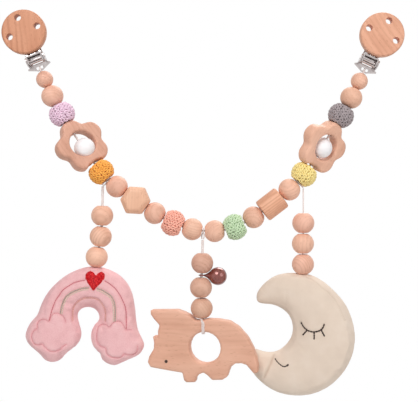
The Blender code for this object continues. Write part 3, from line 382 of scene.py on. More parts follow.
# The cylinder bead: a drilled length of beech dowel, its ends chamfered and sanded, strung
# on the cord between two round beads.
CYLINDER_RADIUS = 0.00895
CYLINDER_HALF = 0.0092
CYLINDER_CHAMFER = 0.0012
top = [
    (BORE, CYLINDER_HALF),
    (CYLINDER_RADIUS - CYLINDER_CHAMFER, CYLINDER_HALF),
    (CYLINDER_RADIUS - CYLINDER_CHAMFER * 0.4, CYLINDER_HALF - CYLINDER_CHAMFER * 0.25),
    (CYLINDER_RADIUS, CYLINDER_HALF - CYLINDER_CHAMFER),
]
data = turned_mesh("cylinder_bead", top + [(r, -z) for r, z in reversed(top)], 56)
made = beech("cylinder_beech", (0.97, 0.87, 0.82), 0.55, 0.0017)
lie = on_axis("cylinder_bead_spin", 0.6)
put("cylinder_bead_turned", data, made, "cylinder_bead_body", "beech", "cylinder_bead", matrix=lie)


# Crochet beads: a wooden core covered with cotton yarn in rounds of small leaning loops,
# each with a hole in its middle. Six of them, each in its own colour.
CROCHET_RADIUS = 0.0101
CROCHET_HALF = 0.0072
CROCHET_MOUTH = 0.006
CROCHET_ROWS = 6
STITCH = 0.0042
YARN = 0.0008


def yarn(name, colour):
    """Soft cotton yarn, its fibres twisted, with painted shade on the core in its hollows."""
    made, place = finish(name, 0.9, Specular_IOR_Level=0.15, Sheen_Weight=0.25, Sheen_Roughness=0.5)
    fluff = place.noise(1700, 4)
    dark = [channel * 0.8 for channel in colour]
    light = [min(1, channel * 1.1 + 0.02) for channel in colour]
    shown = (fluff * 0.7 + place.noise(240, 2) * 0.3).shaded((0.32, dark), (0.52, colour), (0.7, light))
    # The core under the stitches is painted darker: painted shade in the hollows between the loops.
    inner = fluff.add("Attribute", {"attribute_name": "inner"}, output=2)
    shown = shown.mixed(inner * 0.6, [channel**1.5 * 0.4 for channel in colour])
    return lay(made, fluff, 0.5, 0.0002, Base_Color=shown)


def ring_about(shape, place, side, up, sizes):
    """A ring of points about a place, each at its own distance from it."""
    return [
        shape.verts.new(place + (side * math.cos(b) + up * math.sin(b)) * size)
        for b, size in zip(around(len(sizes)), sizes)
    ]


def crochet_bead(node, colour, half, slid):
    """A bead may be a little longer than most, and slid along the cord."""
    shape = bmesh.new()
    start = math.asin(CROCHET_MOUTH / CROCHET_RADIUS)
    reach = half / math.cos(start)
    inner = 1 - YARN * 1.6 / CROCHET_RADIUS
    span = (math.pi - 2 * start) / CROCHET_ROWS

    def surface(a, turn, lift):
        """A point of the cover: an angle from the hole's axis, one round it, and a lift."""
        size = inner + lift / CROCHET_RADIUS
        r = CROCHET_RADIUS * math.sin(a) * size
        return Vector((r * math.cos(turn), r * math.sin(turn), reach * math.cos(a) * size))

    for row in range(CROCHET_ROWS):
        a = start + span * (row + 0.5)
        count = max(9, round(math.tau * CROCHET_RADIUS * math.sin(a) / STITCH))
        for k in range(count):
            middle = math.tau * (k + 0.5 * (row % 2) + grain_seed.uniform(-0.07, 0.07)) / count
            lean = grain_seed.uniform(0.22, 0.42)
            wide = math.tau / count * grain_seed.uniform(0.3, 0.36)
            tall = span * grain_seed.uniform(0.34, 0.4)
            places = []
            for b in around(12):
                over = YARN * (0.45 + 0.2 * math.cos(2 * b))
                turn = middle + wide * (math.cos(b) + lean * math.sin(b))
                places.append(surface(a + tall * math.sin(b), turn, over))
            rings = []
            for i, place in enumerate(places):
                along = (places[(i + 1) % 12] - places[i - 1]).normalized()
                side = along.cross(place.normalized()).normalized()
                rings.append(ring_about(shape, place, side, side.cross(along), [YARN] * 6))
            join_rings(shape, rings, closed=True)
    covered = len(shape.verts)
    profile = round_profile(CROCHET_RADIUS * inner, half * inner, CROCHET_MOUTH * 0.85, 12)
    shape.from_mesh(turned_mesh(node + "_core", profile, 28))
    data = smooth_mesh(shape, node)
    # The core's points are marked so that the yarn paints shade on them.
    depth = data.attributes.new("inner", "FLOAT", "POINT")
    depth.data.foreach_set("value", [float(k >= covered) for k in range(len(data.vertices))])
    made = yarn(node + "_cotton", colour)
    slot = node.replace("_bead", "_yarn")
    lie = on_axis(node + "_spin") @ Matrix.Translation((0, 0, slid))
    put(node + "_crochet", data, made, node + "_body", slot, node, matrix=lie)


crochet_bead("lavender_bead", (0.88, 0.63, 0.77), 0.0077, 0.0005)
crochet_bead("orange_bead", (1.0, 0.45, 0.085), 0.0076, 0.0004)
crochet_bead("salmon_bead", (0.99, 0.48, 0.37), 0.0078, 0.0003)
crochet_bead("mint_bead", (0.6, 0.77, 0.5), 0.0079, -0.0004)
crochet_bead("yellow_bead", (1.0, 0.8, 0.32), 0.0076, -0.0004)
crochet_bead("grey_bead", (0.4, 0.34, 0.35), 0.0077, -0.0005)


# Two five-petalled rings, cut from a beech board, all edges rounded over, with a hole in
# the middle and a bore through the rim for the cord. A white ball on the cord fills the hole.
FLOWER_RADIUS = 0.0187
FLOWER_PETAL = 0.0021
FLOWER_HOLE = 0.0102
FLOWER_HALF = 0.00525
FLOWER_ROUNDING = 0.0024
HOLE_ROUNDING = 0.0017
SEAT_GAP = 0.0012
BALL_RADIUS = 0.0081
BALL_HALF = 0.0076
BALL_MOUTH = 0.0023


def as_shown(piece):
    """The piece's mesh as its modifiers make it. They leave the piece."""
    bpy.context.view_layer.update()
    data = bpy.data.meshes.new_from_object(piece.evaluated_get(bpy.context.evaluated_depsgraph_get()))
    piece.modifiers.clear()
    return data


def cut_out(piece, shape, sharp, rim=0.0, itself=False):
    """Cut a shape that lies in the piece's own frame out of it, and ease the rims it leaves."""
    cutter = placed("cutter", bpy.data.meshes.new("cutter"))
    shape.to_mesh(cutter.data)
    shape.free()
    cutter.matrix_world = piece.matrix_world.copy()
    cut = piece.modifiers.new("cut", "BOOLEAN")
    cut.solver = "EXACT"
    cut.use_self = itself
    cut.object = cutter
    if rim:
        ease = piece.modifiers.new("rim", "BEVEL")
        ease.width = rim
        ease.segments = 2
        ease.angle_limit = math.radians(50)
    piece.data = as_shown(piece)
    piece.data.shade_smooth()
    piece.data.set_sharp_from_angle(angle=math.radians(sharp))
    bpy.data.objects.remove(cutter, do_unlink=True)


def add_rod(shape, radius, length, segments, turn=None, place=(0, 0, 0)):
    """A rod to cut with, along Z unless it is turned."""
    lie = Matrix.Translation(place)
    if turn:
        lie = lie @ Matrix.Rotation(math.pi / 2, 4, turn)
    sizes = {"radius1": radius, "radius2": radius, "depth": length}
    bmesh.ops.create_cone(shape, cap_ends=True, segments=segments, matrix=lie, **sizes)


def flower_ring(side, way, turn_from_front, lower, tint):
    """The ring's own X points at its leading petal and its Z to its front."""
    node = side + "_flower_ring"
    seat = (joint_place(lower + "_spin") - joint_place(node + "_spin")).length
    swell = CROCHET_HALF / math.cos(math.asin(CROCHET_MOUTH / CROCHET_RADIUS))
    shape = bmesh.new()
    rings = []
    for a in around(150):
        # Broad petals and narrower valleys, and a hollow where the lower bead sits
        petal = math.cos(5 * a - 0.3) - 0.16 * math.cos(10 * a - 0.6)
        outer = FLOWER_RADIUS + FLOWER_PETAL * petal
        if math.cos(a) < -0.8:
            beside = min(1, abs(outer * math.sin(a)) / CROCHET_RADIUS)
            bead = min(CROCHET_HALF, swell * math.sqrt(1 - beside**2))
            over = outer - (seat - bead - SEAT_GAP) / -math.cos(a)
            outer -= (over + math.hypot(over, 0.0005)) / 2
        section = []
        for quarter in range(4):
            ease = HOLE_ROUNDING if quarter in (1, 2) else FLOWER_ROUNDING
            r = FLOWER_HOLE + ease if quarter in (1, 2) else outer - ease
            z = FLOWER_HALF - ease if quarter < 2 else ease - FLOWER_HALF
            for k in range(7):
                b = math.pi / 2 * (quarter + k / 6)
                section.append((r + ease * math.cos(b), z + ease * math.sin(b)))
        rings.append(turned_points(shape, section, a))
    join_rings(shape, rings, closed=True)
    lie = Matrix(((0, -way, 0), (0, 0, -1), (way, 0, 0))).to_4x4()
    lie = on_axis(node + "_spin", turn_from_front) @ lie
    made = beech(node + "_beech", tint, 0.22, 0.003, "x", "y")
    data = smooth_mesh(shape, node)
    ring = put(node + "_cut", data, made, node + "_body", "beech", node, matrix=lie)
    shape = bmesh.new()
    add_rod(shape, BORE, 0.06, 24, "Y")
    cut_out(ring, shape, 50)


flower_ring("left", -1, math.radians(-30), "orange_bead", (0.83, 0.76, 0.8))
flower_ring("right", 1, math.radians(38), "yellow_bead", (0.97, 0.94, 0.98))


def mottled(name, roughness, grain, stops, relief, strength, depth=0.0001, polish=None, **settings):
    """A finish that drifts between shades over a fine relief, and in gloss from a given
    polish. grain and relief are each a noise's scale and detail."""
    made, place = finish(name, roughness, **settings)
    drift = place.noise(*grain)
    links = {"Base_Color": drift.shaded(*stops)}
    if polish:
        links["Roughness"] = drift * 0.16 + polish
    return lay(made, place.noise(*relief), strength, depth, **links)


stops = (0.3, (0.93, 0.9, 0.91)), (0.7, (0.96, 0.93, 0.94))
made = mottled("ball_enamel", 0.42, (260, 3), stops, (900, 2), 0.12, Specular_IOR_Level=0.4)
# Each ball has slid down the cord, and sits on it to one side
for side, slack in (("left", (-0.0008, 0, 0.0019)), ("right", (0.0001, 0, 0.0004))):
    node = side + "_flower_ball"
    data = turned_mesh(node, round_profile(BALL_RADIUS, BALL_HALF, BALL_MOUTH, 20), 44)
    lie = on_axis(node + "_spin") @ Matrix.Translation(slack)
    put(node + "_turned", data, made, node + "_body", "ball_white", node, matrix=lie)


# Clip discs: beech rounds 33 mm across with three vent holes, their rims rounded over.
# Each is held in the comb of its clip's lever, and turns with it.
DISC_RADIUS = 0.0166
DISC_HALF = 0.004
DISC_ROUNDING = 0.0016
VENT_RADIUS = 0.0025
VENT_CIRCLE = 0.0111


def clip_place(side):
    """The clip's pin, with Z up along the clip towards its disc and Y to the back."""
    joint = side + "_clip_hinge"
    x = Vector(joints[joint]["axis"]).normalized()
    turned = Matrix((x, BACK, x.cross(BACK))).transposed().to_4x4()
    return Matrix.Translation(joint_place(joint)) @ turned


def clip_disc(side, turn, tint, lines):
    node = side + "_clip_disc"
    profile = [(DISC_RADIUS * 0.45, DISC_HALF)]
    for k in range(7):
        b = math.pi / 2 * k / 6
        out = DISC_ROUNDING * (1 - math.sin(b))
        profile.append((DISC_RADIUS - out, DISC_HALF - DISC_ROUNDING * (1 - math.cos(b))))
    shape = bmesh.new()
    rings = []
    for r, z in profile + [(r, -z) for r, z in reversed(profile)]:
        rings.append([shape.verts.new((r * math.cos(a), r * math.sin(a), z)) for a in around(72)])
    join_rings(shape, rings, capped=True)
    lie = clip_place(side)
    lie.translation = sum(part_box(node), Vector()) / 2
    lie = lie @ Matrix.Rotation(math.pi / 2, 4, "X") @ Matrix.Rotation(turn, 4, "Z")
    made = beech(node + "_beech", tint, lines, 0.0042, "y", "x")
    data = smooth_mesh(shape, node)
    disc = put(node + "_turned", data, made, side + "_clip_flap", "beech", node, matrix=lie)
    shape = bmesh.new()
    for a in (0, math.pi / 2, math.pi):
        place = (VENT_CIRCLE * math.cos(a), VENT_CIRCLE * math.sin(a), 0)
        add_rod(shape, VENT_RADIUS, 0.02, 28, place=place)
    shape.transform(Matrix.Rotation(-turn, 4, "Z"))
    cut_out(disc, shape, 35, rim=0.0003)


clip_disc("left", math.radians(-16), (0.75, 0.58, 0.5), 0.55)
clip_disc("right", math.radians(60), (0.9, 0.79, 0.76), 0.32)


# The clips' metal: jaw plate, lever and pin of pressed sheet steel, nickel plated, with
# burred edges rolled smooth; and the jaw's toothed plastic pad.
# The plate's colour drifts through darker and lighter patches, a painted reflection.
stops = (0.3, (0.46, 0.415, 0.41)), (0.55, (0.55, 0.5, 0.49)), (0.75, (0.62, 0.57, 0.56))
nickel = mottled(
    "nickel_plate", 0.2, (420, 4), stops, (900, 2), 0.12, 0.0003, polish=0.06, Metallic=1.0
)
stops = (0.3, (0.74, 0.74, 0.71)), (0.7, (0.83, 0.83, 0.81))
plastic = mottled("jaw_pad_plastic", 0.45, (500, 3), stops, (500, 3), 0.1, Specular_IOR_Level=0.4)
for side in ("left", "right"):
    clip = side + "_clip_"
    eased_copy(clip + "plate", nickel, "nickel", "strand", 0.00012)
    eased_copy(clip + "lever", nickel, "nickel", clip + "flap", 0.00012)
    eased_copy(clip + "pin", nickel, "nickel", "strand", 0.0002)
    eased_copy(clip + "pad", plastic, "pad_plastic", "strand", 0.0001)


# The cord and strings: cotton, three plies twisted together. The cord runs through every
# bead and loops through the clips' slots, and a thinner string hangs each dropper.
CORD = 0.00085
STRING = 0.00048
LEG = 0.00052
PIN_TO_SLOT = 0.0083
PLIES = 3
stops = (0.35, (0.72, 0.61, 0.58)), (0.55, (0.9, 0.81, 0.78))
settings = {"Specular_IOR_Level": 0.15, "Sheen_Weight": 0.2, "Sheen_Roughness": 0.5}
cord_cotton = mottled("cord_cotton", 0.85, (2600, 3), stops, (2600, 3), 0.5, **settings)


def between(a, b, c, d, t):
    """A place on the smooth curve from b to c, which comes from a and goes on to d."""
    bend = (a * 2 - b * 5 + c * 4 - d) * t**2 + (b * 3 - a - c * 3 + d) * t**3
    return (b * 2 + (c - a) * t + bend) / 2


def smooth_run(points, steps, closed=False):
    """A smooth curve through the points."""
    if closed:
        points = [points[-1], *points, points[0], points[1]]
    else:
        points = [points[0] * 2 - points[1], *points, points[-1] * 2 - points[-2]]
    made = []
    for four in zip(points, points[1:], points[2:], points[3:]):
        made += [between(*four, k / steps) for k in range(steps)]
    return made if closed else made + [points[-2]]


def run_length(points):
    return sum((b - a).length for a, b in zip(points, points[1:]))


def even_places(points, count):
    """Places at equal steps along a run of points, from its start to its end."""
    marks = [0]
    for a, b in zip(points, points[1:]):
        marks.append(marks[-1] + (b - a).length)
    places = []
    i = 0
    for k in range(count + 1):
        distance = marks[-1] * k / count
        while i < len(marks) - 2 and marks[i + 1] < distance:
            i += 1
        share = (distance - marks[i]) / max(marks[i + 1] - marks[i], 1e-9)
        places.append(points[i].lerp(points[i + 1], share))
    return places


def twist_into(shape, points, radius, closed):
    """Add a twisted cord along the points to a mesh."""
    total = run_length(points)
    count = max(6, int(total / (radius * 0.9)))
    places = even_places(points, count)
    rings = []
    side = None
    for k, place in enumerate(places):
        along = (places[min(k + 1, count)] - places[max(k - 1, 0)]).normalized()
        if side is None:
            side = along.cross(BACK)
            if side.length < 0.2:
                side = along.cross(Vector((0, 0, 1)))
        side = (side - along * side.dot(along)).normalized()
        turn = total * k / count / (radius * 9) * math.tau / PLIES
        sizes = []
        for b in around(PLIES * 5):
            lobe = abs(math.cos(PLIES / 2 * (b - turn)))
            sizes.append(radius * (0.8 + 0.2 * lobe))
        rings.append(ring_about(shape, place, side, along.cross(side), sizes))
    if closed:
        rings[-1] = rings[0]
    join_rings(shape, rings, capped=not closed)


def cord_piece(name, body, runs, radius, closed=False):
    shape = bmesh.new()
    for run in runs:
        twist_into(shape, run, radius, closed)
    bmesh.ops.delete(shape, geom=[vert for vert in shape.verts if not vert.link_faces], context="VERTS")
    put(name + "_twisted", smooth_mesh(shape, name), cord_cotton, body, "cord_white", name)


def cord_loop(side):
    """The cord's loop at a clip: in front of the strap bar, through the slot and back."""
    place = clip_place(side)
    up = place.col[2].xyz
    end = place.translation - up * PIN_TO_SLOT
    end.y = 0
    out, near = 0.0015, 0.00095
    steps = (
        (-0.0052, near), (-0.0012, near), (0, out), (0.0006, out), (0.0015, out * 0.86),
        (0.0026, out * 0.4), (0.0026, -out * 0.4), (0.0015, -out * 0.86), (0.0006, -out),
        (0, -out), (-0.0012, -near), (-0.0032, -near), (-0.0052, -near),
    )
    return [end + up * rise + BACK * depth for rise, depth in steps]


loose = ("dropper", "ball", "bell")
strung = [name for name in joints if name.endswith("_spin") and not any(word in name for word in loose)]
run = sorted((joint_place(name) for name in strung), key=lambda place: place.x)
run = cord_loop("left") + run + cord_loop("right")[::-1]
cord_piece("main_cord", "strand", [smooth_run(run, 6)], CORD)

# Each dropper: the hitch's doubled string over the cord, and the string through its beads
for side, spread in (("left", math.pi / 2), ("middle", math.pi / 2), ("right", 0.0)):
    hang = joint_place(side + "_dropper_swing")
    pivot = joint_place(side + "_dropper_sway")
    down = (pivot - hang).normalized()
    reach = (pivot - hang).length
    wrap = CORD + 0.0003 + STRING
    hitch = []
    for share in (1, 0.72, 0.44, 0.22):
        hitch.append((reach * share, LEG + (wrap - LEG) * min(1, 1.5 * (1 - share))))
    turns = [math.pi * i / 8 for i in range(3, -4, -1)]
    path = hitch + [(-wrap * math.cos(a), wrap * math.sin(a)) for a in turns]
    path += [(d, -s) for d, s in reversed(hitch)]
    across = BACK.cross(down).normalized()
    run = []
    for d, s in path:
        a = spread * max(0, min(1, (d / reach - 0.2) / 0.7))
        run.append(hang + down * d + (across * math.sin(a) + BACK * math.cos(a)) * s)
    cord_piece(side + "_hitch", side + "_hitch_body", [smooth_run(run, 3)], STRING)
    beads = [joint_place(f"{side}_dropper_bead_{number}_spin") for number in (1, 2, 3)]
    run = smooth_run([pivot + (beads[0] - pivot).normalized() * 0.0007, *beads], 14)
    legs = []
    for way in (-LEG, LEG):
        leg = []
        for place, following in zip(run, run[1:]):
            across = BACK.cross((following - place).normalized()).normalized()
            leg.append(place + (across * math.sin(spread) + BACK * math.cos(spread)) * way)
        legs.append(leg)
    cord_piece(side + "_string", side + "_string_body", legs, STRING)

for toy, side in (("rainbow", "left"), ("moon", "right")):
    last = joint_place(side + "_dropper_bead_3_spin")
    low = joint_place(toy + "_twist")
    along = (low - last).normalized()
    leg = [((low - last).length - 0.001, LEG), (0.004, LEG), (0.0015, LEG * 0.8)]
    path = leg + [(0.0011, 0)] + [(d, -s) for d, s in reversed(leg)]
    path = [last + along * d + BACK * s for d, s in path]
    cord_piece(toy + "_loop", toy + "_body", [smooth_run(path, 5)], STRING)


# The bell: two pressed half shells joined to a neck and a ring, in glossy dark brown
# enamel, slotted at its far end. A steel pellet rattles inside.
BELL_RADIUS = 0.0069
BELL_WALL = 0.0006
BELL_REACH = 0.01243
RING_RADIUS = 0.00195
RING_WIRE = 0.00045
SLOT = 0.0012
PELLET_RADIUS = 0.0015
stops = (0.3, (0.16, 0.032, 0.025)), (0.7, (0.28, 0.078, 0.06))
settings = {"Metallic": 0.35, "Coat_Weight": 0.6, "Coat_Roughness": 0.06}
enamel = mottled("bell_enamel", 0.14, (300, 3), stops, (1200, 2), 0.08, polish=0.08, **settings)


def arc(radius, reach, start, steps=18):
    """A turned ball's profile, from an angle in degrees off its top down to its foot."""
    turns = [math.radians(start + (180 - start) * k / steps) for k in range(steps + 1)]
    return [(radius * math.sin(a), reach - radius * math.cos(a)) for a in turns]


neck = [(0.00072, 0.0019), (0.00095, 0.0028), (0.00142, 0.0038), (0.0021, 0.0048), (0.003, 0.0058)]
shell = turned_mesh("bell_shell", [(0, neck[0][1]), *neck, *arc(BELL_RADIUS, BELL_REACH, 33)], 48)
core = turned_mesh("bell_hollow", arc(BELL_RADIUS - BELL_WALL, BELL_REACH, 0), 48)
core.flip_normals()
shape = bmesh.new()
shape.from_mesh(shell)
shape.from_mesh(core)
shape.transform(Matrix.Rotation(math.pi / 2, 4, "Y"))
shape.to_mesh(shell)
shape.free()
bell = put("bell_shell", shell, enamel, "bell_body", "bell_brown", "bell", matrix=on_axis("bell_spin"))
shape = bmesh.new()
foot = BELL_REACH + BELL_RADIUS
lie = Matrix.Translation((foot, 0, 0)) @ Matrix.Diagonal((0.008, SLOT, 0.0085, 1))
bmesh.ops.create_cube(shape, size=1, matrix=lie)
for end in (-0.0042, 0.0042):
    add_rod(shape, SLOT, 0.012, 20, "Y", (foot, 0, end))
cut_out(bell, shape, 35, itself=True)
wire = [(RING_RADIUS + RING_WIRE * math.cos(a), RING_WIRE * math.sin(a)) for a in around(14)]
put("bell_ring", turned_mesh("bell_ring", wire, 36), enamel, "bell_body", None, matrix=on_axis("bell_spin"))
data = turned_mesh("pellet", arc(PELLET_RADIUS, 0, 0, 12), 24)
lie = Matrix.Translation(sum(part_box("bell_pellet"), Vector()) / 2)
put("bell_pellet_ball", data, nickel, "bell_pellet_body", "nickel", "bell_pellet", matrix=lie)


# The flat animal: a beech board sawn to its outline, a round hole drilled in it, then all
# edges rounded over and sanded. Its eye is a small burnt dot.
FOX_HALF = 0.0055
FOX_ROUNDING = 0.0021
FOX_TURN = math.radians(-10)
FOX_STRING = 0.00056
EYE_RADIUS = 0.00112
EYE_PLACE = (-0.02672, -FOX_HALF, -0.03147)
fox_home = Matrix.Translation(joint_place("fox_twist")) @ Matrix.Rotation(FOX_TURN, 4, "Z")
shape = bmesh.new()
shape.from_mesh(frame["nodes"]["fox"].data)
shape.transform(fox_home.inverted())
bmesh.ops.remove_doubles(shape, verts=shape.verts, dist=0.000004)
every = list(shape.verts) + list(shape.edges) + list(shape.faces)
halved = bmesh.ops.bisect_plane(shape, geom=every, dist=0.000001, plane_co=(0, 0, 0), plane_no=(0, 1, 0))
rims = {piece for piece in halved["geom_cut"] if isinstance(piece, bmesh.types.BMEdge)}
outlines = []
shape.edges.index_update()
while rims:
    first = min(rims, key=lambda edge: edge.index)
    rims.discard(first)
    loop = list(first.verts)
    while onward := [edge for edge in loop[-1].link_edges if edge in rims]:
        rims.discard(onward[0])
        loop.append(onward[0].other_vert(loop[-1]))
    outlines.append([Vector((vert.co.x, vert.co.z)) for vert in loop[:-1]])
shape.free()


def sanded(points, cut):
    """An outline drawn through its points, with each sharp corner sanded round."""
    knots = []
    for before, corner, after in zip(points[-1:] + points[:-1], points, points[1:] + points[:1]):
        back, on = before - corner, after - corner
        if back.angle(-on) < math.radians(34):
            knots.append((corner, True))
            continue
        back = back.normalized() * min(cut, back.length * 0.42)
        on = on.normalized() * min(cut, on.length * 0.42)
        knots += [(corner + back * (1 - t) ** 2 + on * t**2, False) for t in (0, 0.25, 0.5, 0.75, 1)]
    made = []
    for i in range(len(knots)):
        (b, b_smooth), (c, c_smooth) = knots[i], knots[(i + 1) % len(knots)]
        a = knots[i - 1][0] if b_smooth else b * 2 - c
        d = knots[(i + 2) % len(knots)][0] if c_smooth else c * 2 - b
        for t in (0, 0.25, 0.5, 0.75) if (c - b).length > 0.0012 else (0,):
            made.append(between(a, b, c, d, t))
    return made


curve = bpy.data.curves.new("fox_board", "CURVE")
curve.dimensions = "2D"
curve.fill_mode = "BOTH"
curve.extrude = FOX_HALF - FOX_ROUNDING
curve.bevel_depth = FOX_ROUNDING
curve.bevel_resolution = 4
curve.offset = -FOX_ROUNDING
for points in outlines:
    tidy = [points[0]]
    for point in points[1:]:
        if (point - tidy[-1]).length > 0.0002:
            tidy.append(point)
    # The back rises a little to the last bead, and leaves room for the string in the middle
    for point in tidy:
        if point.y > -0.006 and abs(point.x) < 0.013:
            side = 1 - math.exp(-((point.x / 0.004) ** 2))
            point.y += 0.0003 * (1 - side) + 0.0009 * side * math.exp(-((point.x / 0.0095) ** 4))
    spline = curve.splines.new("POLY")
    rounded = sanded(tidy, 0.0011)
    spline.points.add(len(rounded) - 1)
    for knot, point in zip(spline.points, rounded):
        knot.co = (point.x, point.y, 0, 1)
    spline.use_cyclic_u = True
board = placed("board", curve)
shape = bmesh.new()
shape.from_mesh(as_shown(board))
bpy.data.objects.remove(board, do_unlink=True)
shape.transform(Matrix.Rotation(math.pi / 2, 4, "X"))
bmesh.ops.remove_doubles(shape, verts=shape.verts, dist=0.00001)
data = smooth_mesh(shape, "fox_board", 50)
made = beech("fox_beech", (0.88, 0.83, 0.86), 0.14, 0.0036, "x", "z")
put("fox_board", data, made, "fox_body", "beech", "fox", matrix=fox_home)

# The eye, burnt slightly into the front
profile = [(0.00002, -0.0004), (0.00002, 0.00002), (EYE_RADIUS * 0.7, 0.00005)]
profile += [(EYE_RADIUS, 0.00012), (EYE_RADIUS * 1.12, 0), (EYE_RADIUS, -0.0004)]
stops = (0.3, (0.016, 0.009, 0.006)), (0.7, (0.06, 0.03, 0.02))
made = mottled("burnt_dot", 0.7, (1800, 3), stops, (1800, 3), 0.4)
lie = fox_home @ Matrix.Translation(EYE_PLACE) @ Matrix.Rotation(math.pi / 2, 4, "X")
put("fox_eye", turned_mesh("fox_eye", profile, 24), made, "fox_body", None, matrix=lie)

# Its loop of string, two turns side by side, goes over the rim above the hole
last = joint_place("middle_dropper_bead_3_spin")
hang = joint_place("fox_twist")
along = (hang - last).normalized()
reach = (hang - last).length
deep = last.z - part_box("fox_loop")[0].z - 0.0004
face = FOX_HALF + 0.00078
half = (
    (0.0011, 0), (0.0013, 0.8 * LEG), (0.0037, LEG), (reach - 0.0019, LEG), (reach - 0.0008, 0.0015),
    (reach - 0.0007, face * 0.55), (reach, face * 0.88), (reach + 0.0015, face), ((reach + deep) / 2, face),
    (deep - 0.0014, face), (deep - 0.0006, face * 0.86), (deep, face * 0.45), (deep, 0),
)
aside, back = fox_home.col[0].xyz, fox_home.col[1].xyz
turns = []
for way in (-1, 1):
    turn = []
    for d, s in [*half, *((d, -s) for d, s in reversed(half[1:-1]))]:
        out = max(0, min(1, (d - reach + 0.0015) / 0.003))
        # In front the turns lie a little to the right
        shift = way * (0.0001 + 0.00052 * out) + 0.0018 * out * (0.5 - s / face / 2)
        turn.append(last + along * d + back * s + aside * shift)
    turn = smooth_run(turn, 6, closed=True)
    turns.append(turn + turn[:1])
cord_piece("fox_loop", "fox_body", turns, FOX_STRING, closed=True)


# The plush rainbow: two panels of pink velour sewn together round the edge and stuffed
# firmly. Its arcs and clouds are stitched through, so they lie in soft channels, and a
# heart in red satin stitch sits at the top.
CELL = 0.0012
GROOVE_WIDTH = 0.0006
GROOVE_DEPTH = 0.0005
IN_FRONT = -0.05
MOON_TURN = math.radians(-12)
FRAMES = 20
CLOTH_SCALE = 10
# At the cloth's scale: how near the seam the panels are gathered, and how far the filling
# moves them at most, so that the outline stays
SEAM_REACH = 0.022
SWELL_CAP = 0.011
rainbow_home = Matrix.Translation(joint_place("rainbow_twist"))
moon_home = Matrix.Translation(joint_place("moon_twist")) @ Matrix.Rotation(MOON_TURN, 4, "Z")
covers = {}
for node, home in (("rainbow", rainbow_home), ("moon", moon_home)):
    data = frame["nodes"][node].data.copy()
    data.materials.clear()
    # Cloth behaves best at ten times the toy's size
    data.transform(Matrix.Scale(CLOTH_SCALE, 4) @ home.inverted())
    cover = placed(node + "_cover", data)
    cells = cover.modifiers.new("cells", "REMESH")
    cells.mode = "VOXEL"
    cells.voxel_size = CELL * CLOTH_SCALE
    cover.data = as_shown(cover)
    shape = bmesh.new()
    shape.from_mesh(cover.data)
    every_way = {"use_axis_x": True, "use_axis_y": True, "use_axis_z": True}
    for again in range(6):
        bmesh.ops.smooth_vert(shape, verts=shape.verts, factor=0.5, **every_way)
    shape.to_mesh(cover.data)
    shape.free()
    covers[node] = cover
    seam = cover.vertex_groups.new(name="seam")
    for vert in cover.data.vertices:
        seam.add([vert.index], max(0.0, 1 - abs(vert.co.y) / SEAM_REACH), "REPLACE")
    cloth = cover.modifiers.new("filling", "CLOTH")
    fabric = {"quality": 6, "mass": 0.2, "tension_stiffness": 18, "compression_stiffness": 12}
    fabric |= {"shear_stiffness": 8, "bending_stiffness": 0.4, "use_pressure": True}
    fabric |= {"uniform_pressure_force": 4, "vertex_group_shrink": "seam"}
    fabric |= {"shrink_min": -0.035, "shrink_max": 0.09}
    for name, value in fabric.items():
        setattr(cloth.settings, name, value)
    cloth.settings.effector_weights.gravity = 0
    cloth.collision_settings.use_collision = False
    cloth.point_cache.frame_start = 1
    cloth.point_cache.frame_end = FRAMES

for moment in range(1, FRAMES + 1):
    bpy.context.scene.frame_set(moment)
view = bpy.context.evaluated_depsgraph_get()
for cover in covers.values():
    filled = bpy.data.meshes.new_from_object(cover.evaluated_get(view))
    for vert, old in zip(filled.vertices, cover.data.vertices):
        moved = vert.co - old.co
        vert.co = old.co + moved * min(1, SWELL_CAP / max(moved.length, 0.0001))
    cover.modifiers.clear()
    cover.vertex_groups.clear()
    cover.data = filled
bpy.context.scene.frame_set(1)


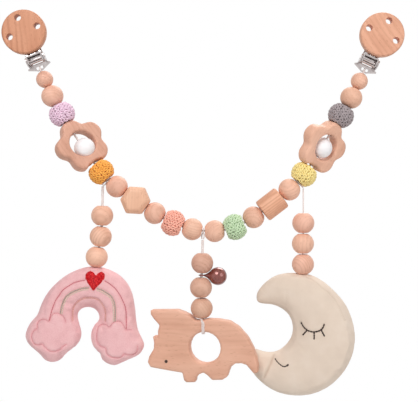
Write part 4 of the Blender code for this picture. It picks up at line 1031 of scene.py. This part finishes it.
def stitched_cover(node, home, sit, channels, made):
    """Finish a cover: one more division, its channels sunk in along their stitches and marked for painted
    shade.
    Channels are (points, width, depth), in millimetres from the hanging point. sit is the
    cover's width against the solid's, and where it sits on its string, across and up."""
    cover = covers[node]
    cover.modifiers.new("finer", "SUBSURF").levels = 1
    cover.data = as_shown(cover)
    data = cover.data
    data.transform(Matrix.Scale(1 / CLOTH_SCALE, 4))
    # Remeshing and smoothing wear the cover down a little, so it is brought back to size
    solid = [home.inverted() @ v.co for v in frame["nodes"][node].data.vertices]
    for axis in range(3):
        low, high = min(v[axis] for v in solid), max(v[axis] for v in solid)
        worn = [v.co[axis] for v in data.vertices]
        start = min(worn)
        scale = (high - low) / (max(worn) - start)
        for vert in data.vertices:
            vert.co[axis] = low + (vert.co[axis] - start) * scale
    for vert in data.vertices:
        vert.co.x = vert.co.x * sit[0] + sit[1]
        vert.co.z += sit[2]
    faces = [tuple(face.vertices) for face in data.polygons]
    skin = BVHTree.FromPolygons([v.co for v in data.vertices], faces)
    # This list marks how much painted shade each point takes, in the channels and in the seam groove.
    pressed = [0.0] * len(data.vertices)
    moves = [0.0] * len(data.vertices)
    for points, width, depth in channels:
        line = smooth_run([Vector((x / 1000, 0, z / 1000)) for x, z in points], 8)
        places = KDTree(len(line))
        for k, place in enumerate(line):
            hit = skin.ray_cast(Vector((place.x, IN_FRONT, place.z)), BACK)[0]
            places.insert(hit or place, k)
        places.balance()
        for vert in data.vertices:
            if vert.co.y > 0:
                continue
            distance = places.find(vert.co)[2] / (width / 1000)
            if distance < 2.5:
                share = math.exp(-distance * distance)
                moves[vert.index] = max(moves[vert.index], share * depth / 1000)
                pressed[vert.index] = max(pressed[vert.index], share * min(1, depth))
    normals = [v.normal.copy() for v in data.vertices]
    for vert, normal, move in zip(data.vertices, normals, moves):
        # The panels meet in a fine groove at the seam round the edge, which takes painted shade too
        near = math.exp(-((vert.co.y / GROOVE_WIDTH) ** 2))
        vert.co -= normal * (move + near * GROOVE_DEPTH)
        pressed[vert.index] = max(pressed[vert.index], near * 0.7)
    data.attributes.new("pressed", "FLOAT", "POINT").data.foreach_set("value", pressed)
    data.shade_smooth()
    data.materials.append(made)
    cover.matrix_world = home
    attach(cover, node + "_body")
    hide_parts(node)
    return BVHTree.FromPolygons([home @ v.co for v in data.vertices], faces), home


def one_stitch(shape, cloth, start, end, fat, lift, parts=4):
    """A stitch from one place to another along a cover's front, sunk at its ends. Places are
    in millimetres from the hanging point, and cloth is what stitched_cover gave back."""
    skin, home = cloth
    along = (home.to_3x3() @ Vector((end[0] - start[0], 0, end[1] - start[1]))).normalized()
    rings = []
    for k in range(parts + 1):
        rise = math.sin(math.pi * k / parts)
        x, z = (first + (last - first) * k / parts for first, last in zip(start, end))
        eye = home @ Vector((x / 1000, IN_FRONT, z / 1000))
        place, normal, face, distance = skin.ray_cast(eye, home.col[1].xyz)
        place = place + normal * (rise * lift - (1 - rise) * fat * 0.7)
        size = fat * (0.55 + 0.45 * rise**0.5)
        rings.append(ring_about(shape, place, along.cross(normal).normalized(), normal, [size] * 6))
    join_rings(shape, rings, capped=True)


def sew(name, cloth, lines, length, thickness, made, slant):
    """Back stitches along lines of places, all in one thread."""
    shape = bmesh.new()
    for points in lines:
        line = smooth_run([Vector((x, 0, z)) for x, z in points], 12)
        marks = even_places(line, max(2, round(run_length(line) / length)))
        for a, b in zip(marks, marks[1:]):
            across = Vector((a.z - b.z, 0, b.x - a.x)).normalized() * slant
            reach = (b - a) * 0.12
            start, end = a - reach + across, b + reach - across
            one_stitch(shape, cloth, start.xz, end.xz, thickness / 2000, thickness / 5000)
    put(name, smooth_mesh(shape, name), made, name.split("_")[0] + "_body", None)


def floss(name, colour, shine=0.5):
    """Embroidery floss: strands laid side by side, with a soft sheen."""
    stops = (0.35, [channel * 0.68 for channel in colour]), (0.6, colour)
    return mottled(name + "_floss", shine, (2200, 2), stops, (2200, 2), 0.4, Specular_IOR_Level=0.4)


def beside(line, shift):
    """A line of places shifted to the arch's inner side."""
    made = []
    for k, (x, z) in enumerate(line):
        (x1, z1), (x2, z2) = line[max(k - 1, 0)], line[min(k + 1, len(line) - 1)]
        along = Vector((x2 - x1, z2 - z1)).normalized()
        made.append((x + along.y * shift, z - along.x * shift))
    return made


ROSE_ARC = (
    ((-33.1, -39.4), (-31.1, -31.7), (-28.4, -24.5), (-25.5, -20.1), (-22.6, -16.2), (-18.4, -13.2),
     (-14.2, -10.8), (-10, -9.6), (-6.3, -9)),
    ((8.6, -9.4), (12.5, -11.8), (16.4, -15.1), (19.1, -18.7), (21.1, -22.3), (23.2, -27.1),
     (24.4, -31.4), (24.7, -37.9), (24.8, -45.7)),
)
GREEN_ARC = (
    ((-24.8, -34.1), (-23.6, -28.1), (-21.2, -22.2), (-17.1, -18.6), (-11.6, -16.1), (-7.4, -14.9),
     (-3.2, -14.6)),
    ((2.8, -15.2), (6.4, -16.2), (9.9, -18.2), (13.5, -20.9), (15.3, -23.9), (16.2, -26.9),
     (16.5, -30.5), (16.6, -35.3), (16.5, -40.1)),
)
PEACH_ARC = (
    ((-15.9, -40), (-16.1, -35.2), (-15.6, -30.8), (-14.3, -28), (-12.4, -25.9), (-9.4, -23.7),
     (-5.7, -22.5), (-0.3, -22.4), (3.3, -23.6), (5.7, -25.7), (7.4, -28.5), (8.6, -31.8),
     (8.8, -36.1), (8.5, -40.3)),
)
CLOUDS = (
    ((-20.8, -40.3), (-21.4, -37.8), (-23.1, -35.7), (-25.4, -34.1), (-27.8, -33.6), (-30.2, -34.3),
     (-31.7, -36.5), (-32.5, -39.1), (-33.7, -40), (-35.5, -38.5), (-37.8, -38.3), (-40.6, -39.4),
     (-42.1, -41.2), (-42.5, -43.8), (-42.3, -45.6), (-44.5, -46.6), (-46.1, -48.7), (-46.8, -51.4),
     (-46.2, -54.1), (-45.1, -56.5), (-43.3, -57.7), (-40.7, -57.6), (-38.8, -56.7), (-36.7, -58.6),
     (-34.9, -60.4), (-33.2, -61.9), (-30.2, -62.6), (-27, -62), (-24.3, -60.6), (-22.6, -58.5),
     (-20.3, -57.4)),
    ((2.2, -52.3), (2.5, -47.8), (2.8, -45.5), (3.9, -43.7), (6.1, -42.5), (8.3, -42.2), (10.5, -43),
     (11.7, -44.4), (13.2, -43.1), (14.7, -41), (17.7, -39.8), (20.4, -40.1), (22.7, -42.6),
     (23.9, -45), (24.8, -46.5), (26.5, -46.2), (28.8, -46.6)),
    ((2.2, -52.3), (2.8, -55.9), (5.3, -58.8), (8.1, -59.3), (9.6, -60.7), (9.8, -63.4), (11.4, -65.6),
     (14, -67), (17.6, -67.4), (20.6, -67), (22.2, -65.5), (23.6, -64.1), (25.4, -64.9),
     (27.7, -65.4), (30.3, -65), (32.3, -63.8), (33.3, -61), (33.1, -58.5)),
)
EDGE_FOLD = (
    (-37.3, -34.3), (-36.9, -28.4), (-35.2, -22.4), (-32.2, -16.6), (-28.4, -11.4), (-23.2, -7),
    (-17.2, -3.7), (-10.3, -1.8), (-4.2, -1.1), (3.5, -1.2), (10.7, -3.1), (16.8, -6.1), (22.2, -11),
    (25.9, -17), (27.8, -23), (28.8, -30.1), (29.7, -37.4), (30.3, -44),
)
settings = {"Sheen_Weight": 0.35, "Sheen_Roughness": 0.6, "Sheen_Tint": (1, 0.85, 0.87, 1)}
made, place = finish("pink_velour", 0.95, **settings)
pile = place.noise(1300, 4)
nap = place.noise(130, 3)
stops = (0.3, (0.76, 0.4, 0.41)), (0.5, (0.85, 0.48, 0.49)), (0.7, (0.9, 0.57, 0.57))
# The velour is painted darker in its stitched channels, the seam groove and the fold by the top edge:
# painted shade.
groove_shade_mask = pile.add("Attribute", {"attribute_name": "pressed"}, output=2)
colour = (pile * 0.55 + nap * 0.45).shaded(*stops).mixed(groove_shade_mask * 0.42, (0.7, 0.27, 0.3))
lay(made, pile + nap * 0.5, 0.5, 0.0005, Base_Color=colour)
channels = [(line, 1.1, 0.75) for line in ROSE_ARC + GREEN_ARC + PEACH_ARC]
channels += [(line, 1.0, 0.7) for line in CLOUDS] + [(EDGE_FOLD, 1.3, 0.3)]
rainbow = stitched_cover("rainbow", rainbow_home, (0.985, 0.0011, 0.0009), channels, made)
pale_rows = [beside(line, 1.3) for line in GREEN_ARC]
# Each row's lines, the length and thickness of its stitches, its thread and its slant
for name, *row in (
    ("rose", ROSE_ARC, 1.9, 0.62, floss("rose", (0.66, 0.17, 0.2)), 0.1),
    ("sage", pale_rows, 1.3, 1.0, floss("sage", (0.84, 0.67, 0.56), 0.6), 0.15),
    ("green", GREEN_ARC, 1.5, 1.0, floss("green", (0.52, 0.45, 0.36)), 0.12),
    ("peach", PEACH_ARC, 1.6, 0.85, floss("peach", (0.83, 0.45, 0.38)), 0.1),
    ("cloud", CLOUDS, 1.9, 0.42, floss("pink", (0.78, 0.31, 0.33)), 0.08),
):
    sew(f"rainbow_{name}_stitches", rainbow, *row)

# The heart: a padded patch covered from side to side with satin stitches
HEART = (
    (0.1, -16.4), (-2.6, -13.1), (-5.0, -10.1), (-6.3, -7.4), (-6.1, -4.9), (-4.5, -3.1), (-2.0, -2.6),
    (0.4, -3.4), (2.0, -5.3), (3.3, -3.9), (5.6, -3.3), (7.9, -3.9), (9.0, -5.7), (8.4, -8.3),
    (6.0, -11.2), (2.8, -14.0),
)
HEART_FOOT = -16.1
HEART_TOP = -2.5
HEART_STEP = 0.42
outline = [tuple(p) for p in smooth_run([Vector(place) for place in HEART], 4, closed=True)]
shape = bmesh.new()
row = HEART_FOOT
while row < HEART_TOP:
    crossings = []
    for (x1, z1), (x2, z2) in zip(outline, outline[1:] + outline[:1]):
        if (z1 > row) != (z2 > row):
            crossings.append(x1 + (x2 - x1) * (row - z1) / (z2 - z1))
    crossings.sort()
    for left, right in zip(crossings[::2], crossings[1::2]):
        one_stitch(shape, rainbow, (left - 0.1, row), (right + 0.1, row), 0.00034, 0.0008, 8)
    row += HEART_STEP
# The red floss is flecked with painted glints, bright red-orange among dark red.
stops = (0.34, (0.36, 0.001, 0.006)), (0.5, (0.6, 0.004, 0.011)), (0.68, (0.8, 0.04, 0.04))
made = mottled("red_floss", 0.42, (900, 2), stops, (900, 2), 0.5, 0.0002, Specular_IOR_Level=0.22)
put("rainbow_heart", smooth_mesh(shape, "heart"), made, "rainbow_body", None)


# The plush moon: two panels of cream cotton sewn together and stuffed, with a sleeping
# eye and a small smile in brown back stitch.
LID = (
    (-0.6, -34.9), (1.3, -38.2), (4.1, -40.6), (6.8, -41.5), (9.4, -41.7), (12.2, -41.1),
    (14.6, -39.9), (16.2, -37.9), (16.9, -35.5),
)
LASHES = (
    ((4.1, -40.6), (2.2, -42.9), (0.6, -44.6)),
    ((9.4, -41.7), (9.5, -44.5), (9.4, -47.3)),
    ((14.6, -39.9), (16, -42.4), (17.2, -44.7)),
)
SMILE = (
    (-20.5, -63.2), (-19, -65.2), (-17.4, -66.5), (-15.3, -68), (-13.2, -68.8), (-11.5, -68.2),
    (-10.2, -67.1),
)
SMILE_END = ((-11.4, -68.2), (-9.9, -66.9))
FOLD = ((-22.1, -61.1), (-23.7, -65.9), (-25.8, -71.4), (-28.7, -77.6))
TOP_SEAM = ((1.9, -0.6), (7.3, -3), (14.2, -8.1), (21.7, -14.2), (27.7, -22.2), (32.1, -32.5))
THREADS = 11000
made, place = finish("cream_cotton", 0.92, Sheen_Weight=0.2, Sheen_Roughness=0.6)
weave = []
for axis in (0, 2):
    turn = place.add("SeparateXYZ", {}, {0: place}, axis) * THREADS
    weave.append(turn.maths("SINE", turn))
tint = place.noise(90, 4)
stops = (0.3, (0.755, 0.615, 0.505)), (0.5, (0.785, 0.645, 0.53)), (0.7, (0.81, 0.675, 0.565))
# The cotton is painted darker in its stitched channels and the seam groove: painted shade.
groove_shade_mask = tint.add("Attribute", {"attribute_name": "pressed"}, output=2)
colour = tint.shaded(*stops).mixed(groove_shade_mask * 0.5, (0.5, 0.36, 0.26))
lay(made, weave[0] * weave[1] * 0.5 + place.noise(1500, 3), 0.4, 0.0002, Base_Color=colour)
channels = [(LID, 0.8, 0.35), (SMILE, 0.8, 0.35), (FOLD, 1.0, 0.9), (TOP_SEAM, 0.8, 0.5)]
moon = stitched_cover("moon", moon_home, (1, -0.0006, 0.0009), channels, made)
brown = floss("brown", (0.034, 0.017, 0.012), 0.65)
sew("moon_face_stitches", moon, [LID, *LASHES], 2.0, 1.2, brown, 0.05)
sew("moon_smile_stitches", moon, [SMILE], 1.8, 0.85, brown, 0.05)
sew("moon_smile_end", moon, [SMILE_END], 1.2, 1.4, brown, 0.05)
